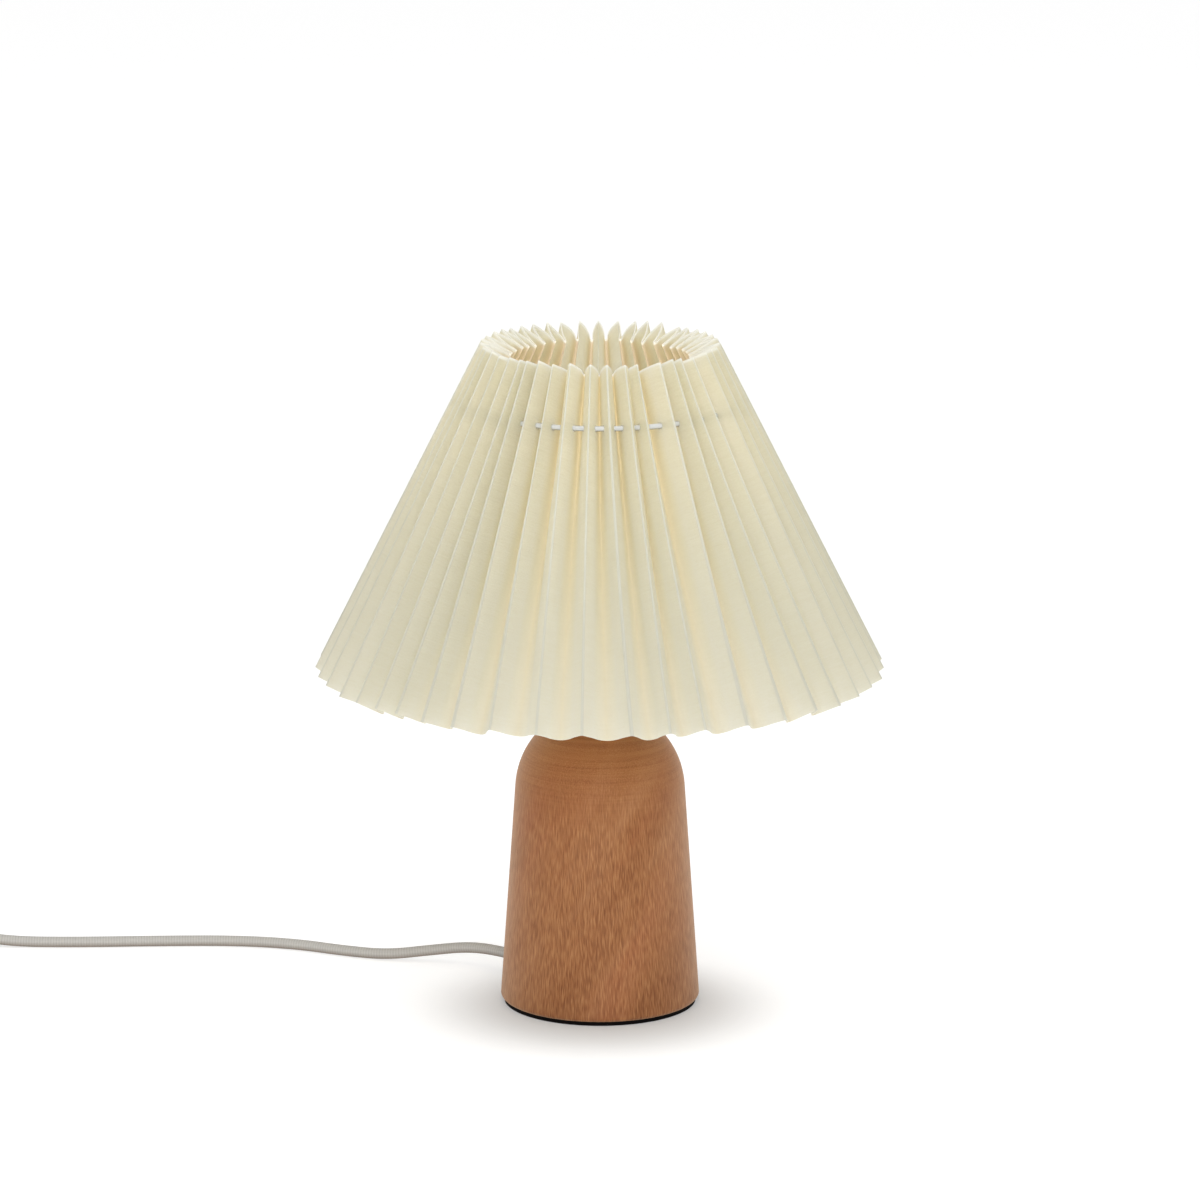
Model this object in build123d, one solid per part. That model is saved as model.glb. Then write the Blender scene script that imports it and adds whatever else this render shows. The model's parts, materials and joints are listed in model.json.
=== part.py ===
from build123d import *
import math
import os

# Table lamp: a turned wooden base, a screw lampholder with its bulb, a pleated shade on a wire
# carrier, and a textile cord with a switch and a plug.
# Millimetres, +Z up. The origin is on the table, under the middle of the base.

# Turned base
foot_radius = 53.0
dome_radius = 45.0
dome_centre_height = 115.5
foot_fillet = 2.5
seat_radius = 21.0
recess_radius = 20.0
recess_depth = 30.0
pad_thickness = 2.0
pad_inset = 2.0

# Threaded tube and its fixings
tube_radius = 5.0
tube_wall = 1.4
tube_tail = 2.0
washer_radius = 14.0
washer_thickness = 1.5
nut_sides = 6
nut_across_flats = 14.0
nut_height = 5.0

# Lampholder
holder_radius = 19.75
holder_wall = 2.0
holder_cap_height = 25.0
holder_cap_floor = 3.0
holder_cap_fillet = 3.0
holder_boss_radius = 8.0
holder_boss_height = 8.0
flange_radius = 24.0
flange_thickness = 2.5
skirt_height = 30.0
spigot_depth = 5.0
spigot_wall = 1.75
core_depth = 10.0
core_rim_height = 3.0
screw_contact_height = 21.0
screw_contact_wall = 0.4
centre_contact_lift = 1.2
centre_contact_reach = 8.0
centre_contact_bend = 2.7
centre_contact_width = 5.0
centre_contact_sheet = 0.5
holder_terminal_side = 6.0
holder_terminal_height = 5.0
holder_terminal_offset = 10.0

# Bulb
bulb_length = 100.0
bulb_body_radius = 17.5
bulb_neck_radius = 12.2
bulb_glass_wall = 0.8
bulb_cap_radius = 13.0
bulb_cap_wall = 0.4
bulb_cap_length = 21.0
bulb_cap_toe_radius = 9.5
bulb_cap_toe_height = 3.0
bulb_tip_radius = 4.8
bulb_tip_height = 1.5
bulb_insulator_height = 4.5
bulb_neck_sunk = 9.0
bulb_body_rise = 34.0
bulb_shoulder_rise = 64.0
bulb_shoulder_radius = 10.5
stem_foot_height = 1.5
stem_radius = 3.5
stem_length = 17.0
stem_bead_radius = 6.5
stem_bead_height = 1.5
support_radius = 0.8
filament_count = 4
filament_radius = 0.7
filament_length = 34.0
filament_circle = 5.0

# Pleated shade: ridges lie on a cone, cut square to the folds
pleat_count = 45
panel_width = 18.5
sheet_thickness = 0.4
shade_top_radius = 62.3
shade_bottom_radius = 150.0
shade_top_height = 356.6
shade_bottom_height = 183.0

# Wire carrier under the shade
wire_radius = 1.4
ring_below_top = 32.0
ring_depth_share = 0.45
leg_count = 3
collar_thickness = 1.5
collar_rim = 4.5
shade_ring_width = 8.5
shade_ring_height = 9.0
shade_ring_flutes = 24
shade_ring_flute_radius = 1.5

# Cord and where it leaves the base
cord_radius = 2.9
cord_exit_angle = 135.0
cord_exit_height = 10.5
cord_bend_radius = 11.5
cord_first_run = 14.0
bush_shank_radius = 4.6
bush_shank_length = 14.0
bush_flange_radius = 6.5
bush_flange_thickness = 2.0
bush_nose_length = 10.0
bush_nose_wall = 0.9
cord_stop_radius = 6.5
cord_stop_length = 6.0
jacket_above_boss = 1.7
conductor_radius = 1.05
conductor_offset = 1.35
conductor_bend = 2.5

# Inline switch
switch_near_end = -368.0
switch_line = 100.0
switch_length = 62.0
switch_width = 25.0
switch_base_height = 7.0
switch_cover_height = 8.0
switch_wall = 1.8
switch_corner = 8.0
switch_edge_fillet = 1.5
switch_grip = 5.0
rocker_half_length = 9.6
rocker_half_width = 5.2
rocker_pivot_height = 11.6
rocker_pin_radius = 1.5
rocker_pin_length = 1.8
rocker_depth = 2.8
rocker_rise = 5.6
rocker_dip = 1.6
rocker_tilt = 8.0
boss_width = 1.9
boss_half_length = 3.0
pillar_radius = 2.7
pillar_x = 22.5
pillar_y = 7.3
screw_radius = 1.2
screw_head_radius = 2.2
screw_head_height = 1.6
screw_slot_width = 0.8
screw_length = 9.0
switch_terminal_length = 7.0
switch_terminal_width = 5.0
switch_terminal_height = 4.0
switch_terminal_x = 13.0
switch_terminal_y = -5.0

# Wound end of the cord
coil_centre_x = -470.0
coil_outer_radius = 42.5
coil_pitch = 6.3
coil_turns_each_way = 3
coil_climb_turns = 0.5
coil_climb_dip = 1.2
tie_thickness = 0.8
tie_width = 8.0
tie_corner = 3.0
coil_exit_run = 12.0
coil_exit_drop_run = 26.0

# Plug
plug_length = 36.0
plug_width = 35.0
plug_waist = 17.0
plug_waist_from_back = 12.0
plug_face_from_back = 24.0
plug_thickness = 14.0
plug_nose_length = 20.0
plug_nose_wall = 1.6
plug_fillet = 3.0
pin_spacing = 19.0
pin_radius = 2.0
pin_length = 19.0
pin_core_radius = 1.3
pin_sunk = 8.0
sleeve_radius = 1.75
sleeve_length = 10.0

# Clearances
seat_gap = 0.1
slide_gap = 0.3
cord_gap = 0.1
pivot_gap = 0.05

# Heights that follow from the sizes above
wood_bottom = pad_thickness
recess_top = wood_bottom + recess_depth
seat_height = dome_centre_height + math.sqrt(dome_radius**2 - seat_radius**2)
cap_bottom = seat_height + washer_thickness
boss_top = cap_bottom + holder_boss_height
cap_top = cap_bottom + holder_cap_height
flange_top = cap_top + flange_thickness
skirt_top = flange_top + skirt_height
core_bottom = flange_top - core_depth
core_top = flange_top + core_rim_height
bulb_bottom = core_top + centre_contact_lift + centre_contact_sheet + slide_gap
bulb_top = bulb_bottom + bulb_length
insulator_bottom = bulb_bottom + bulb_tip_height
bulb_cap_bottom = insulator_bottom + bulb_insulator_height
bulb_cap_top = bulb_cap_bottom + bulb_cap_length
bulb_neck_bottom = bulb_cap_top - bulb_neck_sunk
collar_bottom = flange_top
collar_top = collar_bottom + collar_thickness
shade_ring_top = collar_top + shade_ring_height
ring_height = shade_top_height - ring_below_top

# Radii that follow from the sizes above
tube_bore = tube_radius - tube_wall
tube_hole = tube_radius + slide_gap
thread_hole = tube_radius + seat_gap
skirt_bore = holder_radius - holder_wall
spigot_radius = skirt_bore - seat_gap
spigot_bore = spigot_radius - spigot_wall
shade_ring_bore = holder_radius + slide_gap
shade_ring_radius = shade_ring_bore + shade_ring_width
leg_foot_radius = shade_ring_radius + slide_gap + wire_radius
collar_radius = shade_ring_radius + collar_rim
cord_hole = cord_radius + cord_gap
bush_hole = bush_shank_radius + seat_gap

from_bottom = (Align.CENTER, Align.CENTER, Align.MIN)
round_turn = 360.0


def polar(radius, angle, height):
    """The point at a radius and an angle in degrees, at a height."""
    turn = math.radians(angle)
    return Vector(radius * math.cos(turn), radius * math.sin(turn), height)


def turned(*outline):
    """A solid of revolution about Z from its outline of radius and height points."""
    return revolve(Plane.XZ * make_face(Polyline(*outline, close=True)), Axis.Z)


def ring_between(outer, bore, bottom, top):
    """A plain ring about Z between two heights."""
    return turned((bore, bottom), (outer, bottom), (outer, top), (bore, top))


def disc_between(radius, bottom, top):
    """A plain disc about Z between two heights."""
    return Pos(0, 0, bottom) * Cylinder(radius, top - bottom, align=from_bottom)


def round_bar(start, end, radius):
    """A straight round bar between two points."""
    reach = Vector(end) - Vector(start)
    return Plane(origin=start, z_dir=reach) * Cylinder(radius, reach.length, align=from_bottom)


def tube_along(path, radius):
    """A solid round tube along a path of lines and arcs."""
    return sweep(Plane(origin=path @ 0, z_dir=path % 0) * Circle(radius), path=path)


# Base

def foot_tangent_point():
    """Where the straight side of the base runs into its dome."""
    reach = math.hypot(foot_radius, dome_centre_height - wood_bottom)
    to_foot = math.atan2(wood_bottom - dome_centre_height, foot_radius)
    angle = to_foot + math.acos(dome_radius / reach)
    return angle, dome_point(angle)


def dome_point(angle):
    """A point of the dome's outline, by its angle above the level in radians."""
    return dome_radius * math.cos(angle), dome_centre_height + dome_radius * math.sin(angle)


def base_radius_at(height):
    """The radius of the straight side of the base at a height."""
    _, (top_radius, top_height) = foot_tangent_point()
    share = (height - wood_bottom) / (top_height - wood_bottom)
    return foot_radius + share * (top_radius - foot_radius)


def exit_point(radius):
    """A point on the cord's straight way out of the base."""
    return polar(radius, cord_exit_angle, cord_exit_height)


bush_flange_inner = base_radius_at(cord_exit_height - bush_flange_radius) + seat_gap
bush_end = bush_flange_inner + bush_flange_thickness + bush_nose_length


def wood_base():
    tangent_angle, tangent_point = foot_tangent_point()
    seat_angle = math.acos(seat_radius / dome_radius)
    middle_angle = (tangent_angle + seat_angle) / 2
    seat_edge = (seat_radius, seat_height)
    outline = [
        Line((recess_radius, wood_bottom), (foot_radius, wood_bottom)),
        Line((foot_radius, wood_bottom), tangent_point),
        ThreePointArc(tangent_point, dome_point(middle_angle), seat_edge),
        Polyline(seat_edge, (tube_hole, seat_height), (tube_hole, recess_top)),
        Polyline((tube_hole, recess_top), (recess_radius, recess_top), (recess_radius, wood_bottom)),
    ]
    body = revolve(Plane.XZ * make_face(outline), Axis.Z)
    foot_edge = body.edges().filter_by(GeomType.CIRCLE).filter_by_position(
        Axis.Z, wood_bottom, wood_bottom
    ).sort_by(SortBy.RADIUS)[-1]
    body = fillet(foot_edge, foot_fillet)
    return body - round_bar(exit_point(0), exit_point(2 * foot_radius), bush_hole)


def base_pad():
    return disc_between(foot_radius - pad_inset, 0, pad_thickness)


def threaded_tube():
    bottom = recess_top - washer_thickness - nut_height - tube_tail
    return ring_between(tube_radius, tube_bore, bottom, boss_top)


def tube_washer():
    return ring_between(washer_radius, thread_hole, recess_top - washer_thickness, recess_top)


def tube_nut():
    nut_top = recess_top - washer_thickness
    outer_radius = nut_across_flats / 2 / math.cos(math.pi / nut_sides)
    body = extrude(RegularPolygon(outer_radius, nut_sides), nut_height)
    return Pos(0, 0, nut_top - nut_height) * (body - disc_between(thread_hole, 0, nut_height))


def seat_washer():
    return ring_between(seat_radius - seat_gap, thread_hole, seat_height, cap_bottom)


# Cord inside the base

def cord_bush():
    nose_radius = cord_hole + bush_nose_wall
    flange_outer = bush_flange_inner + bush_flange_thickness
    shank = round_bar(
        exit_point(bush_flange_inner - bush_shank_length), exit_point(bush_flange_inner), bush_shank_radius
    )
    flange = round_bar(exit_point(bush_flange_inner), exit_point(flange_outer), bush_flange_radius)
    nose_plane = Plane(origin=exit_point(flange_outer), z_dir=polar(1, cord_exit_angle, 0))
    nose = nose_plane * Cone(bush_shank_radius, nose_radius, bush_nose_length, align=from_bottom)
    return shank + flange + nose - round_bar(exit_point(0), exit_point(2 * bush_end), cord_hole)


def cord_stop():
    outer_end = math.sqrt(recess_radius**2 - cord_stop_radius**2) - slide_gap
    inner_end = outer_end - cord_stop_length
    body = round_bar(exit_point(inner_end), exit_point(outer_end), cord_stop_radius)
    return body - round_bar(exit_point(0), exit_point(foot_radius), cord_hole)


jacket_top = boss_top + jacket_above_boss


def inner_cord():
    corners = [exit_point(bush_end), exit_point(0), (0, 0, jacket_top)]
    return tube_along(FilletPolyline(*corners, radius=cord_bend_radius), cord_radius)


def conductor(side):
    """One wire from the end of the cord's jacket to the inner face of its terminal."""
    height = core_bottom - holder_terminal_height / 2
    start = (side * conductor_offset, 0, jacket_top)
    corner = (side * conductor_offset, 0, height)
    end = (side * (holder_terminal_offset - holder_terminal_side / 2), 0, height)
    return tube_along(FilletPolyline(start, corner, end, radius=conductor_bend), conductor_radius)


# Lampholder

def holder_cap():
    floor_top = cap_bottom + holder_cap_floor
    body = turned(
        (thread_hole, cap_bottom),
        (holder_radius, cap_bottom),
        (holder_radius, cap_top),
        (skirt_bore, cap_top),
        (skirt_bore, floor_top),
        (holder_boss_radius, floor_top),
        (holder_boss_radius, boss_top),
        (thread_hole, boss_top),
    )
    bottom_edge = body.edges().filter_by_position(Axis.Z, cap_bottom, cap_bottom).sort_by(SortBy.RADIUS)[-1]
    return fillet(bottom_edge, holder_cap_fillet)


def holder_shell():
    return turned(
        (spigot_bore, cap_top - spigot_depth),
        (spigot_radius, cap_top - spigot_depth),
        (spigot_radius, cap_top),
        (flange_radius, cap_top),
        (flange_radius, flange_top),
        (holder_radius, flange_top),
        (holder_radius, skirt_top),
        (skirt_bore, skirt_top),
        (skirt_bore, flange_top),
        (spigot_bore, flange_top),
    )


def holder_core():
    return turned(
        (0, core_bottom),
        (spigot_bore - seat_gap, core_bottom),
        (spigot_bore - seat_gap, flange_top),
        (skirt_bore - seat_gap, flange_top),
        (skirt_bore - seat_gap, core_top),
        (0, core_top),
    )


def holder_terminal(side):
    """One brass block on the underside of the core."""
    block = Box(holder_terminal_side, holder_terminal_side, holder_terminal_height, align=from_bottom)
    return Pos(side * holder_terminal_offset, 0, core_bottom - holder_terminal_height) * block


def screw_contact():
    bore = bulb_cap_radius + slide_gap
    return ring_between(bore + screw_contact_wall, bore, core_top, core_top + screw_contact_height)


def centre_contact():
    """A bent strip that lies on the core and lifts its free end under the bulb's tip."""
    foot = centre_contact_reach
    bend = centre_contact_bend
    lift = centre_contact_lift
    sheet = centre_contact_sheet
    outline = Polyline(
        (-foot, 0),
        (-bend, 0),
        (0, lift),
        (bend, lift),
        (bend, lift + sheet),
        (0, lift + sheet),
        (-bend, sheet),
        (-foot, sheet),
        close=True,
    )
    strip = extrude(Plane.XZ * make_face(outline), centre_contact_width / 2, both=True)
    return Pos(0, 0, core_top) * strip


def shade_ring():
    """The ring nut on the lampholder's skirt, with grip flutes round its rim."""
    body = ring_between(shade_ring_radius, shade_ring_bore, collar_top, shade_ring_top)
    flute = disc_between(shade_ring_flute_radius, collar_top, shade_ring_top)
    return body - PolarLocations(shade_ring_radius, shade_ring_flutes) * flute


# Bulb

def bulb_outline(inset):
    """One side of the glass from the neck's open end to the tip, moved in by an inset."""
    neck = bulb_neck_radius - inset
    neck_top = (neck, bulb_cap_top)
    body = (bulb_body_radius - inset, bulb_neck_bottom + bulb_body_rise)
    shoulder = (bulb_shoulder_radius - inset, bulb_neck_bottom + bulb_shoulder_rise)
    tip = (0, bulb_top - inset)
    return [
        Line((neck, bulb_neck_bottom), neck_top),
        Spline(neck_top, body, shoulder, tip, tangents=[(0, 1), (-1, 0)]),
    ]


def bulb_glass():
    inner = bulb_glass_wall
    ends = [
        Line((bulb_neck_radius - inner, bulb_neck_bottom), (bulb_neck_radius, bulb_neck_bottom)),
        Line((0, bulb_top - inner), (0, bulb_top)),
    ]
    return revolve(Plane.XZ * make_face(bulb_outline(0) + bulb_outline(inner) + ends), Axis.Z)


def bulb_cap():
    wall = bulb_cap_wall
    toe_top = bulb_cap_bottom + bulb_cap_toe_height
    return turned(
        (bulb_cap_toe_radius - wall, bulb_cap_bottom),
        (bulb_cap_toe_radius, bulb_cap_bottom),
        (bulb_cap_radius, toe_top),
        (bulb_cap_radius, bulb_cap_top),
        (bulb_cap_radius - wall, bulb_cap_top),
        (bulb_cap_radius - wall, toe_top),
    )


def bulb_insulator():
    return turned(
        (0, insulator_bottom),
        (bulb_tip_radius, insulator_bottom),
        (bulb_cap_toe_radius, bulb_cap_bottom),
        (0, bulb_cap_bottom),
    )


def bulb_contact():
    tip = disc_between(bulb_tip_radius, bulb_bottom, insulator_bottom)
    lower_edge = tip.edges().filter_by_position(Axis.Z, bulb_bottom, bulb_bottom)
    return fillet(lower_edge, bulb_tip_height / 2)


stem_top = bulb_neck_bottom + stem_length
bead_top = stem_top + stem_bead_height
filament_top = bead_top + filament_length


def bulb_stem():
    """The glass stem in the neck, with a bead and a disc that hold the filaments."""
    foot_radius_here = bulb_neck_radius - bulb_glass_wall - seat_gap
    foot_top = bulb_neck_bottom + stem_foot_height
    return turned(
        (0, bulb_neck_bottom),
        (foot_radius_here, bulb_neck_bottom),
        (foot_radius_here, foot_top),
        (stem_radius, foot_top),
        (stem_radius, stem_top),
        (stem_bead_radius, stem_top),
        (stem_bead_radius, bead_top),
        (support_radius, bead_top),
        (support_radius, filament_top),
        (stem_bead_radius, filament_top),
        (stem_bead_radius, filament_top + support_radius),
        (0, filament_top + support_radius),
    )


def bulb_filament(number):
    """One straight filament between the stem's bead and its top disc."""
    angle = round_turn * number / filament_count
    return round_bar(polar(filament_circle, angle, bead_top), polar(filament_circle, angle, filament_top),
                     filament_radius)


# Pleated shade

half_pleat = round_turn / pleat_count / 2
shade_lean = math.atan2(shade_bottom_radius - shade_top_radius, shade_top_height - shade_bottom_height)
inward = (-math.cos(shade_lean), -math.sin(shade_lean))
first_ridge = -90.0 + half_pleat


def valley_depth(ridge_radius):
    """How far a valley lies behind the ridges, square to the ridge, for the panel's width."""
    spread = 1 - math.cos(math.radians(half_pleat))
    lean_part = ridge_radius * math.cos(shade_lean) * spread
    return lean_part + math.sqrt(lean_part**2 + panel_width**2 - 2 * ridge_radius**2 * spread)


def fold_ends(is_valley, is_inner):
    """Radius and height of a fold's lower and upper end, on the outer or the inner skin."""
    ends = []
    for ridge_radius, ridge_height in (
        (shade_bottom_radius, shade_bottom_height),
        (shade_top_radius, shade_top_height),
    ):
        depth = valley_depth(ridge_radius)
        valley_radius = ridge_radius + inward[0] * depth
        skin = sheet_thickness * panel_width / (valley_radius * math.sin(math.radians(half_pleat)))
        move = (depth if is_valley else 0.0) + (skin if is_inner else 0.0)
        ends.append((ridge_radius + inward[0] * move, ridge_height + inward[1] * move))
    return ends


def fold_line(number, is_inner):
    """One fold of the sheet from bottom to top, counted round from the first ridge."""
    angle = first_ridge + number * half_pleat
    low, high = fold_ends(number % 2 == 1, is_inner)
    return polar(low[0], angle, low[1]), polar(high[0], angle, high[1])


def pleated_shade():
    fold_count = 2 * pleat_count
    outer = [fold_line(number, False) for number in range(fold_count)]
    inner = [fold_line(number, True) for number in range(fold_count)]
    faces = []
    for number in range(fold_count):
        following = (number + 1) % fold_count
        corners = (outer[number], outer[following], inner[following], inner[number])
        faces.append(ruled_panel(*corners[0], *corners[1]))
        faces.append(ruled_panel(*corners[3], *corners[2]))
        for end in (0, 1):
            faces.append(ruled_panel(corners[0][end], corners[3][end], corners[1][end], corners[2][end]))
    sheet = Solid(Shell(faces))
    return sheet - wire_ring_at(wire_radius + slide_gap)


def ruled_panel(start_low, start_high, end_low, end_high):
    """The ruled face between two straight folds."""
    return Face.make_surface_from_curves(Edge.make_line(start_low, start_high), Edge.make_line(end_low, end_high))


# Wire carrier

def skin_radius_at(is_valley, height):
    """The radius of the ridges or of the valleys at a height."""
    (low_radius, low_height), (high_radius, high_height) = fold_ends(is_valley, False)
    share = (height - low_height) / (high_height - low_height)
    return low_radius + share * (high_radius - low_radius)


ridge_at_ring = skin_radius_at(False, ring_height)
valley_at_ring = skin_radius_at(True, ring_height)
wire_ring_radius = ridge_at_ring - ring_depth_share * (ridge_at_ring - valley_at_ring)


def wire_ring_at(section_radius):
    """A ring on the wire ring's own line, with a given section radius."""
    return Pos(0, 0, ring_height) * Torus(wire_ring_radius, section_radius)


def carrier_leg(number):
    """One straight wire from the collar to the wire ring, inside a ridge of the shade."""
    angle = first_ridge + number * round_turn / leg_count
    foot = polar(leg_foot_radius, angle, collar_top)
    head = polar(wire_ring_radius, angle, ring_height)
    below = foot - (head - foot).normalized() * wire_radius
    leg = round_bar(below, head, wire_radius)
    leg = leg - wire_ring_at(wire_radius)
    leg = split(leg, bisect_by=Plane(origin=(0, 0, collar_top)), keep=Keep.TOP)
    return leg.solids().sort_by(SortBy.VOLUME)[-1]


def carrier_collar():
    return ring_between(collar_radius, shade_ring_bore, collar_bottom, collar_top)


# Cord on the table

switch_middle = switch_near_end - switch_length / 2
switch_far_end = switch_near_end - switch_length
cord_line_height = switch_base_height

cord_route = [
    tuple(exit_point(bush_end)),
    tuple(exit_point(bush_end + cord_first_run)),
    (-72.0, 66.0, 9.5),
    (-92.0, 71.5, 6.0),
    (-116.0, 73.0, cord_radius),
    (-140.0, 81.0, cord_radius),
    (-166.0, 94.0, cord_radius),
    (-199.0, 100.8, cord_radius),
    (-239.0, 100.4, cord_radius),
    (-288.0, 97.6, cord_radius),
    (-324.0, 99.0, cord_radius),
    (-348.0, switch_line, cord_line_height),
    (switch_near_end - switch_grip, switch_line, cord_line_height),
]


def corner_radii(route):
    """The largest radius that each corner's two runs leave room for."""
    run_share = 0.45
    radii = []
    for before, corner, after in zip(route, route[1:], route[2:]):
        run_in = Vector(corner) - Vector(before)
        run_out = Vector(after) - Vector(corner)
        half_turn = math.radians(run_in.get_angle(run_out)) / 2
        radii.append(run_share * min(run_in.length, run_out.length) / math.tan(half_turn))
    return radii


def cord_lead():
    radii = corner_radii(cord_route)
    path = FilletPolyline(*cord_route, radius=radii)
    tube = tube_along(path, cord_radius)
    section = math.pi * cord_radius**2
    print("cord_lead radii", [round(radius, 1) for radius in radii])
    print("cord_lead length", round(path.length, 1), "volume share", round(tube.volume / section / path.length, 5))
    return tube


# Wound end of the cord

coil_low = tie_thickness + slide_gap + cord_radius
coil_high = coil_low + coil_pitch
coil_inner_radius = coil_outer_radius - coil_turns_each_way * coil_pitch
coil_turns = 2 * coil_turns_each_way + coil_climb_turns
coil_centre = Vector(coil_centre_x, switch_line - coil_outer_radius, 0)
coil_start_angle = 90.0
plug_line = switch_line - 2 * coil_outer_radius
plug_axis_height = plug_thickness / 2
plug_nose_end = coil_centre_x + coil_exit_run + coil_exit_drop_run + 2 * cord_radius


def coil_point(turns):
    """A point of the winding: in along the table, up in half a turn, and out again on top."""
    inward_turns = min(turns, coil_turns_each_way)
    outward_turns = max(turns - coil_turns_each_way - coil_climb_turns, 0)
    climb = min(max((turns - coil_turns_each_way) / coil_climb_turns, 0), 1)
    radius = coil_outer_radius - coil_pitch * (inward_turns - outward_turns)
    radius -= coil_climb_dip * math.sin(math.pi * climb)
    height = coil_low + (coil_high - coil_low) * climb**2 * (3 - 2 * climb)
    return coil_centre + polar(radius, coil_start_angle + round_turn * turns, height)


def coil_direction(turns):
    """The winding's direction, averaged over a short stretch on both sides."""
    step = 0.02
    return (coil_point(turns + step) - coil_point(turns - step)).normalized()


def biarc(start, start_direction, end, end_direction):
    """Two arcs that lead smoothly from one point and direction to another."""
    straight_limit = 1e-9
    chord = end - start
    both = start_direction + end_direction
    bend = 2 * (1 - start_direction.dot(end_direction))
    along = chord.dot(both)
    if bend < straight_limit:
        reach = chord.dot(chord) / (2 * along)
    else:
        reach = (math.sqrt(along**2 + bend * chord.dot(chord)) - along) / bend
    middle = (start + start_direction * reach + end - end_direction * reach) / 2
    first = Edge.make_tangent_arc(start, start_direction, middle)
    middle_direction = (end - end_direction * reach - start - start_direction * reach).normalized()
    return [first, Edge.make_tangent_arc(middle, middle_direction, end)]


def coil_path():
    """From the switch into the winding, round it, and out to the plug."""
    toward_coil = Vector(-1, 0, 0)
    toward_plug = Vector(1, 0, 0)
    start = Vector(switch_far_end + switch_grip, switch_line, cord_line_height)
    leave = Vector(switch_far_end - 2 * cord_radius, switch_line, cord_line_height)
    quarters = round(4 * coil_turns)
    points = [coil_point(quarter / 4) for quarter in range(quarters + 1)]
    directions = [coil_direction(quarter / 4) for quarter in range(quarters + 1)]
    directions[0] = toward_coil
    directions[-1] = toward_plug
    edges = [Edge.make_line(start, leave)]
    edges += biarc(leave, toward_coil, points[0], toward_coil)
    for number in range(quarters):
        edges += biarc(points[number], directions[number], points[number + 1], directions[number + 1])
    drop_start = points[-1] + toward_plug * coil_exit_run
    drop_end = Vector(plug_nose_end - 2 * cord_radius, plug_line, plug_axis_height)
    edges.append(Edge.make_line(points[-1], drop_start))
    edges += biarc(drop_start, toward_plug, drop_end, toward_plug)
    edges.append(Edge.make_line(drop_end, Vector(plug_nose_end, plug_line, plug_axis_height)))
    return Wire(edges)


def least_gap(path, radius):
    """The least gap between stretches of a tube that are not next to each other on it."""
    samples = 900
    skipped_diameters = 4
    points = [tuple(path @ (number / samples)) for number in range(samples + 1)]
    apart = math.ceil(skipped_diameters * 2 * radius / (path.length / samples))
    spans = (
        math.dist(points[first], points[second])
        for first in range(samples + 1)
        for second in range(first + apart, samples + 1)
    )
    return min(spans) - 2 * radius


def cord_coil():
    path = coil_path()
    tube = tube_along(path, cord_radius)
    section = math.pi * cord_radius**2
    print("cord_coil length", round(path.length, 1), "volume share", round(tube.volume / section / path.length, 5))
    print("cord_coil least gap", round(least_gap(path, cord_radius), 2))
    return tube


def coil_tie():
    """A flat band round the winding, where it is three turns wide."""
    sag = tie_width**2 / (8 * coil_inner_radius)
    quarter = coil_pitch / 4
    low_radius = coil_inner_radius + quarter - cord_radius - sag - slide_gap
    high_radius = coil_outer_radius - 3 * quarter + cord_radius + slide_gap
    inner_width = high_radius - low_radius
    inner_height = coil_high - coil_low + 2 * cord_radius + 2 * slide_gap
    hole = RectangleRounded(inner_width, inner_height, tie_corner - tie_thickness)
    band = RectangleRounded(inner_width + 2 * tie_thickness, inner_height + 2 * tie_thickness, tie_corner)
    loop = extrude(Plane.XZ * (band - hole), tie_width / 2, both=True)
    middle = (low_radius + high_radius) / 2
    return Pos(coil_centre_x + middle, coil_centre.Y, (coil_low + coil_high) / 2) * loop


# Inline switch

switch_place = Pos(switch_middle, switch_line, 0)
switch_top = switch_base_height + switch_cover_height
cover_ceiling = switch_top - switch_wall
window_half_length = rocker_half_length + rocker_rise * math.sin(math.radians(rocker_tilt)) + slide_gap
window_half_width = rocker_half_width + slide_gap
pillar_places = [(pillar_x, pillar_y), (-pillar_x, -pillar_y)]


def switch_slab(inset, bottom, top):
    """A block of the switch's outline, moved in by an inset, between two heights."""
    outline = RectangleRounded(
        switch_length - 2 * inset, switch_width - 2 * inset, max(switch_corner - inset, switch_edge_fillet)
    )
    return Pos(0, 0, bottom) * extrude(outline, top - bottom)


def cord_way():
    """The two holes in the ends of the switch, up to where the cord is gripped."""
    outer = switch_length / 2
    holes = [
        round_bar((side * (outer - switch_grip), 0, cord_line_height), (side * (outer + switch_grip), 0,
                  cord_line_height), cord_hole)
        for side in (-1, 1)
    ]
    return holes[0] + holes[1]


def switch_base():
    body = switch_slab(0, 0, switch_base_height)
    body = fillet(body.edges().filter_by_position(Axis.Z, 0, 0), switch_edge_fillet)
    body -= switch_slab(switch_wall, switch_wall, switch_base_height)
    for x, y in pillar_places:
        body += Pos(x, y, 0) * disc_between(pillar_radius, switch_wall / 2, switch_base_height)
        body -= Pos(x, y, 0) * disc_between(screw_radius + seat_gap, 0, switch_base_height)
        body -= Pos(x, y, 0) * disc_between(screw_head_radius + seat_gap, 0, screw_head_height)
    return switch_place * (body - cord_way())


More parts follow.
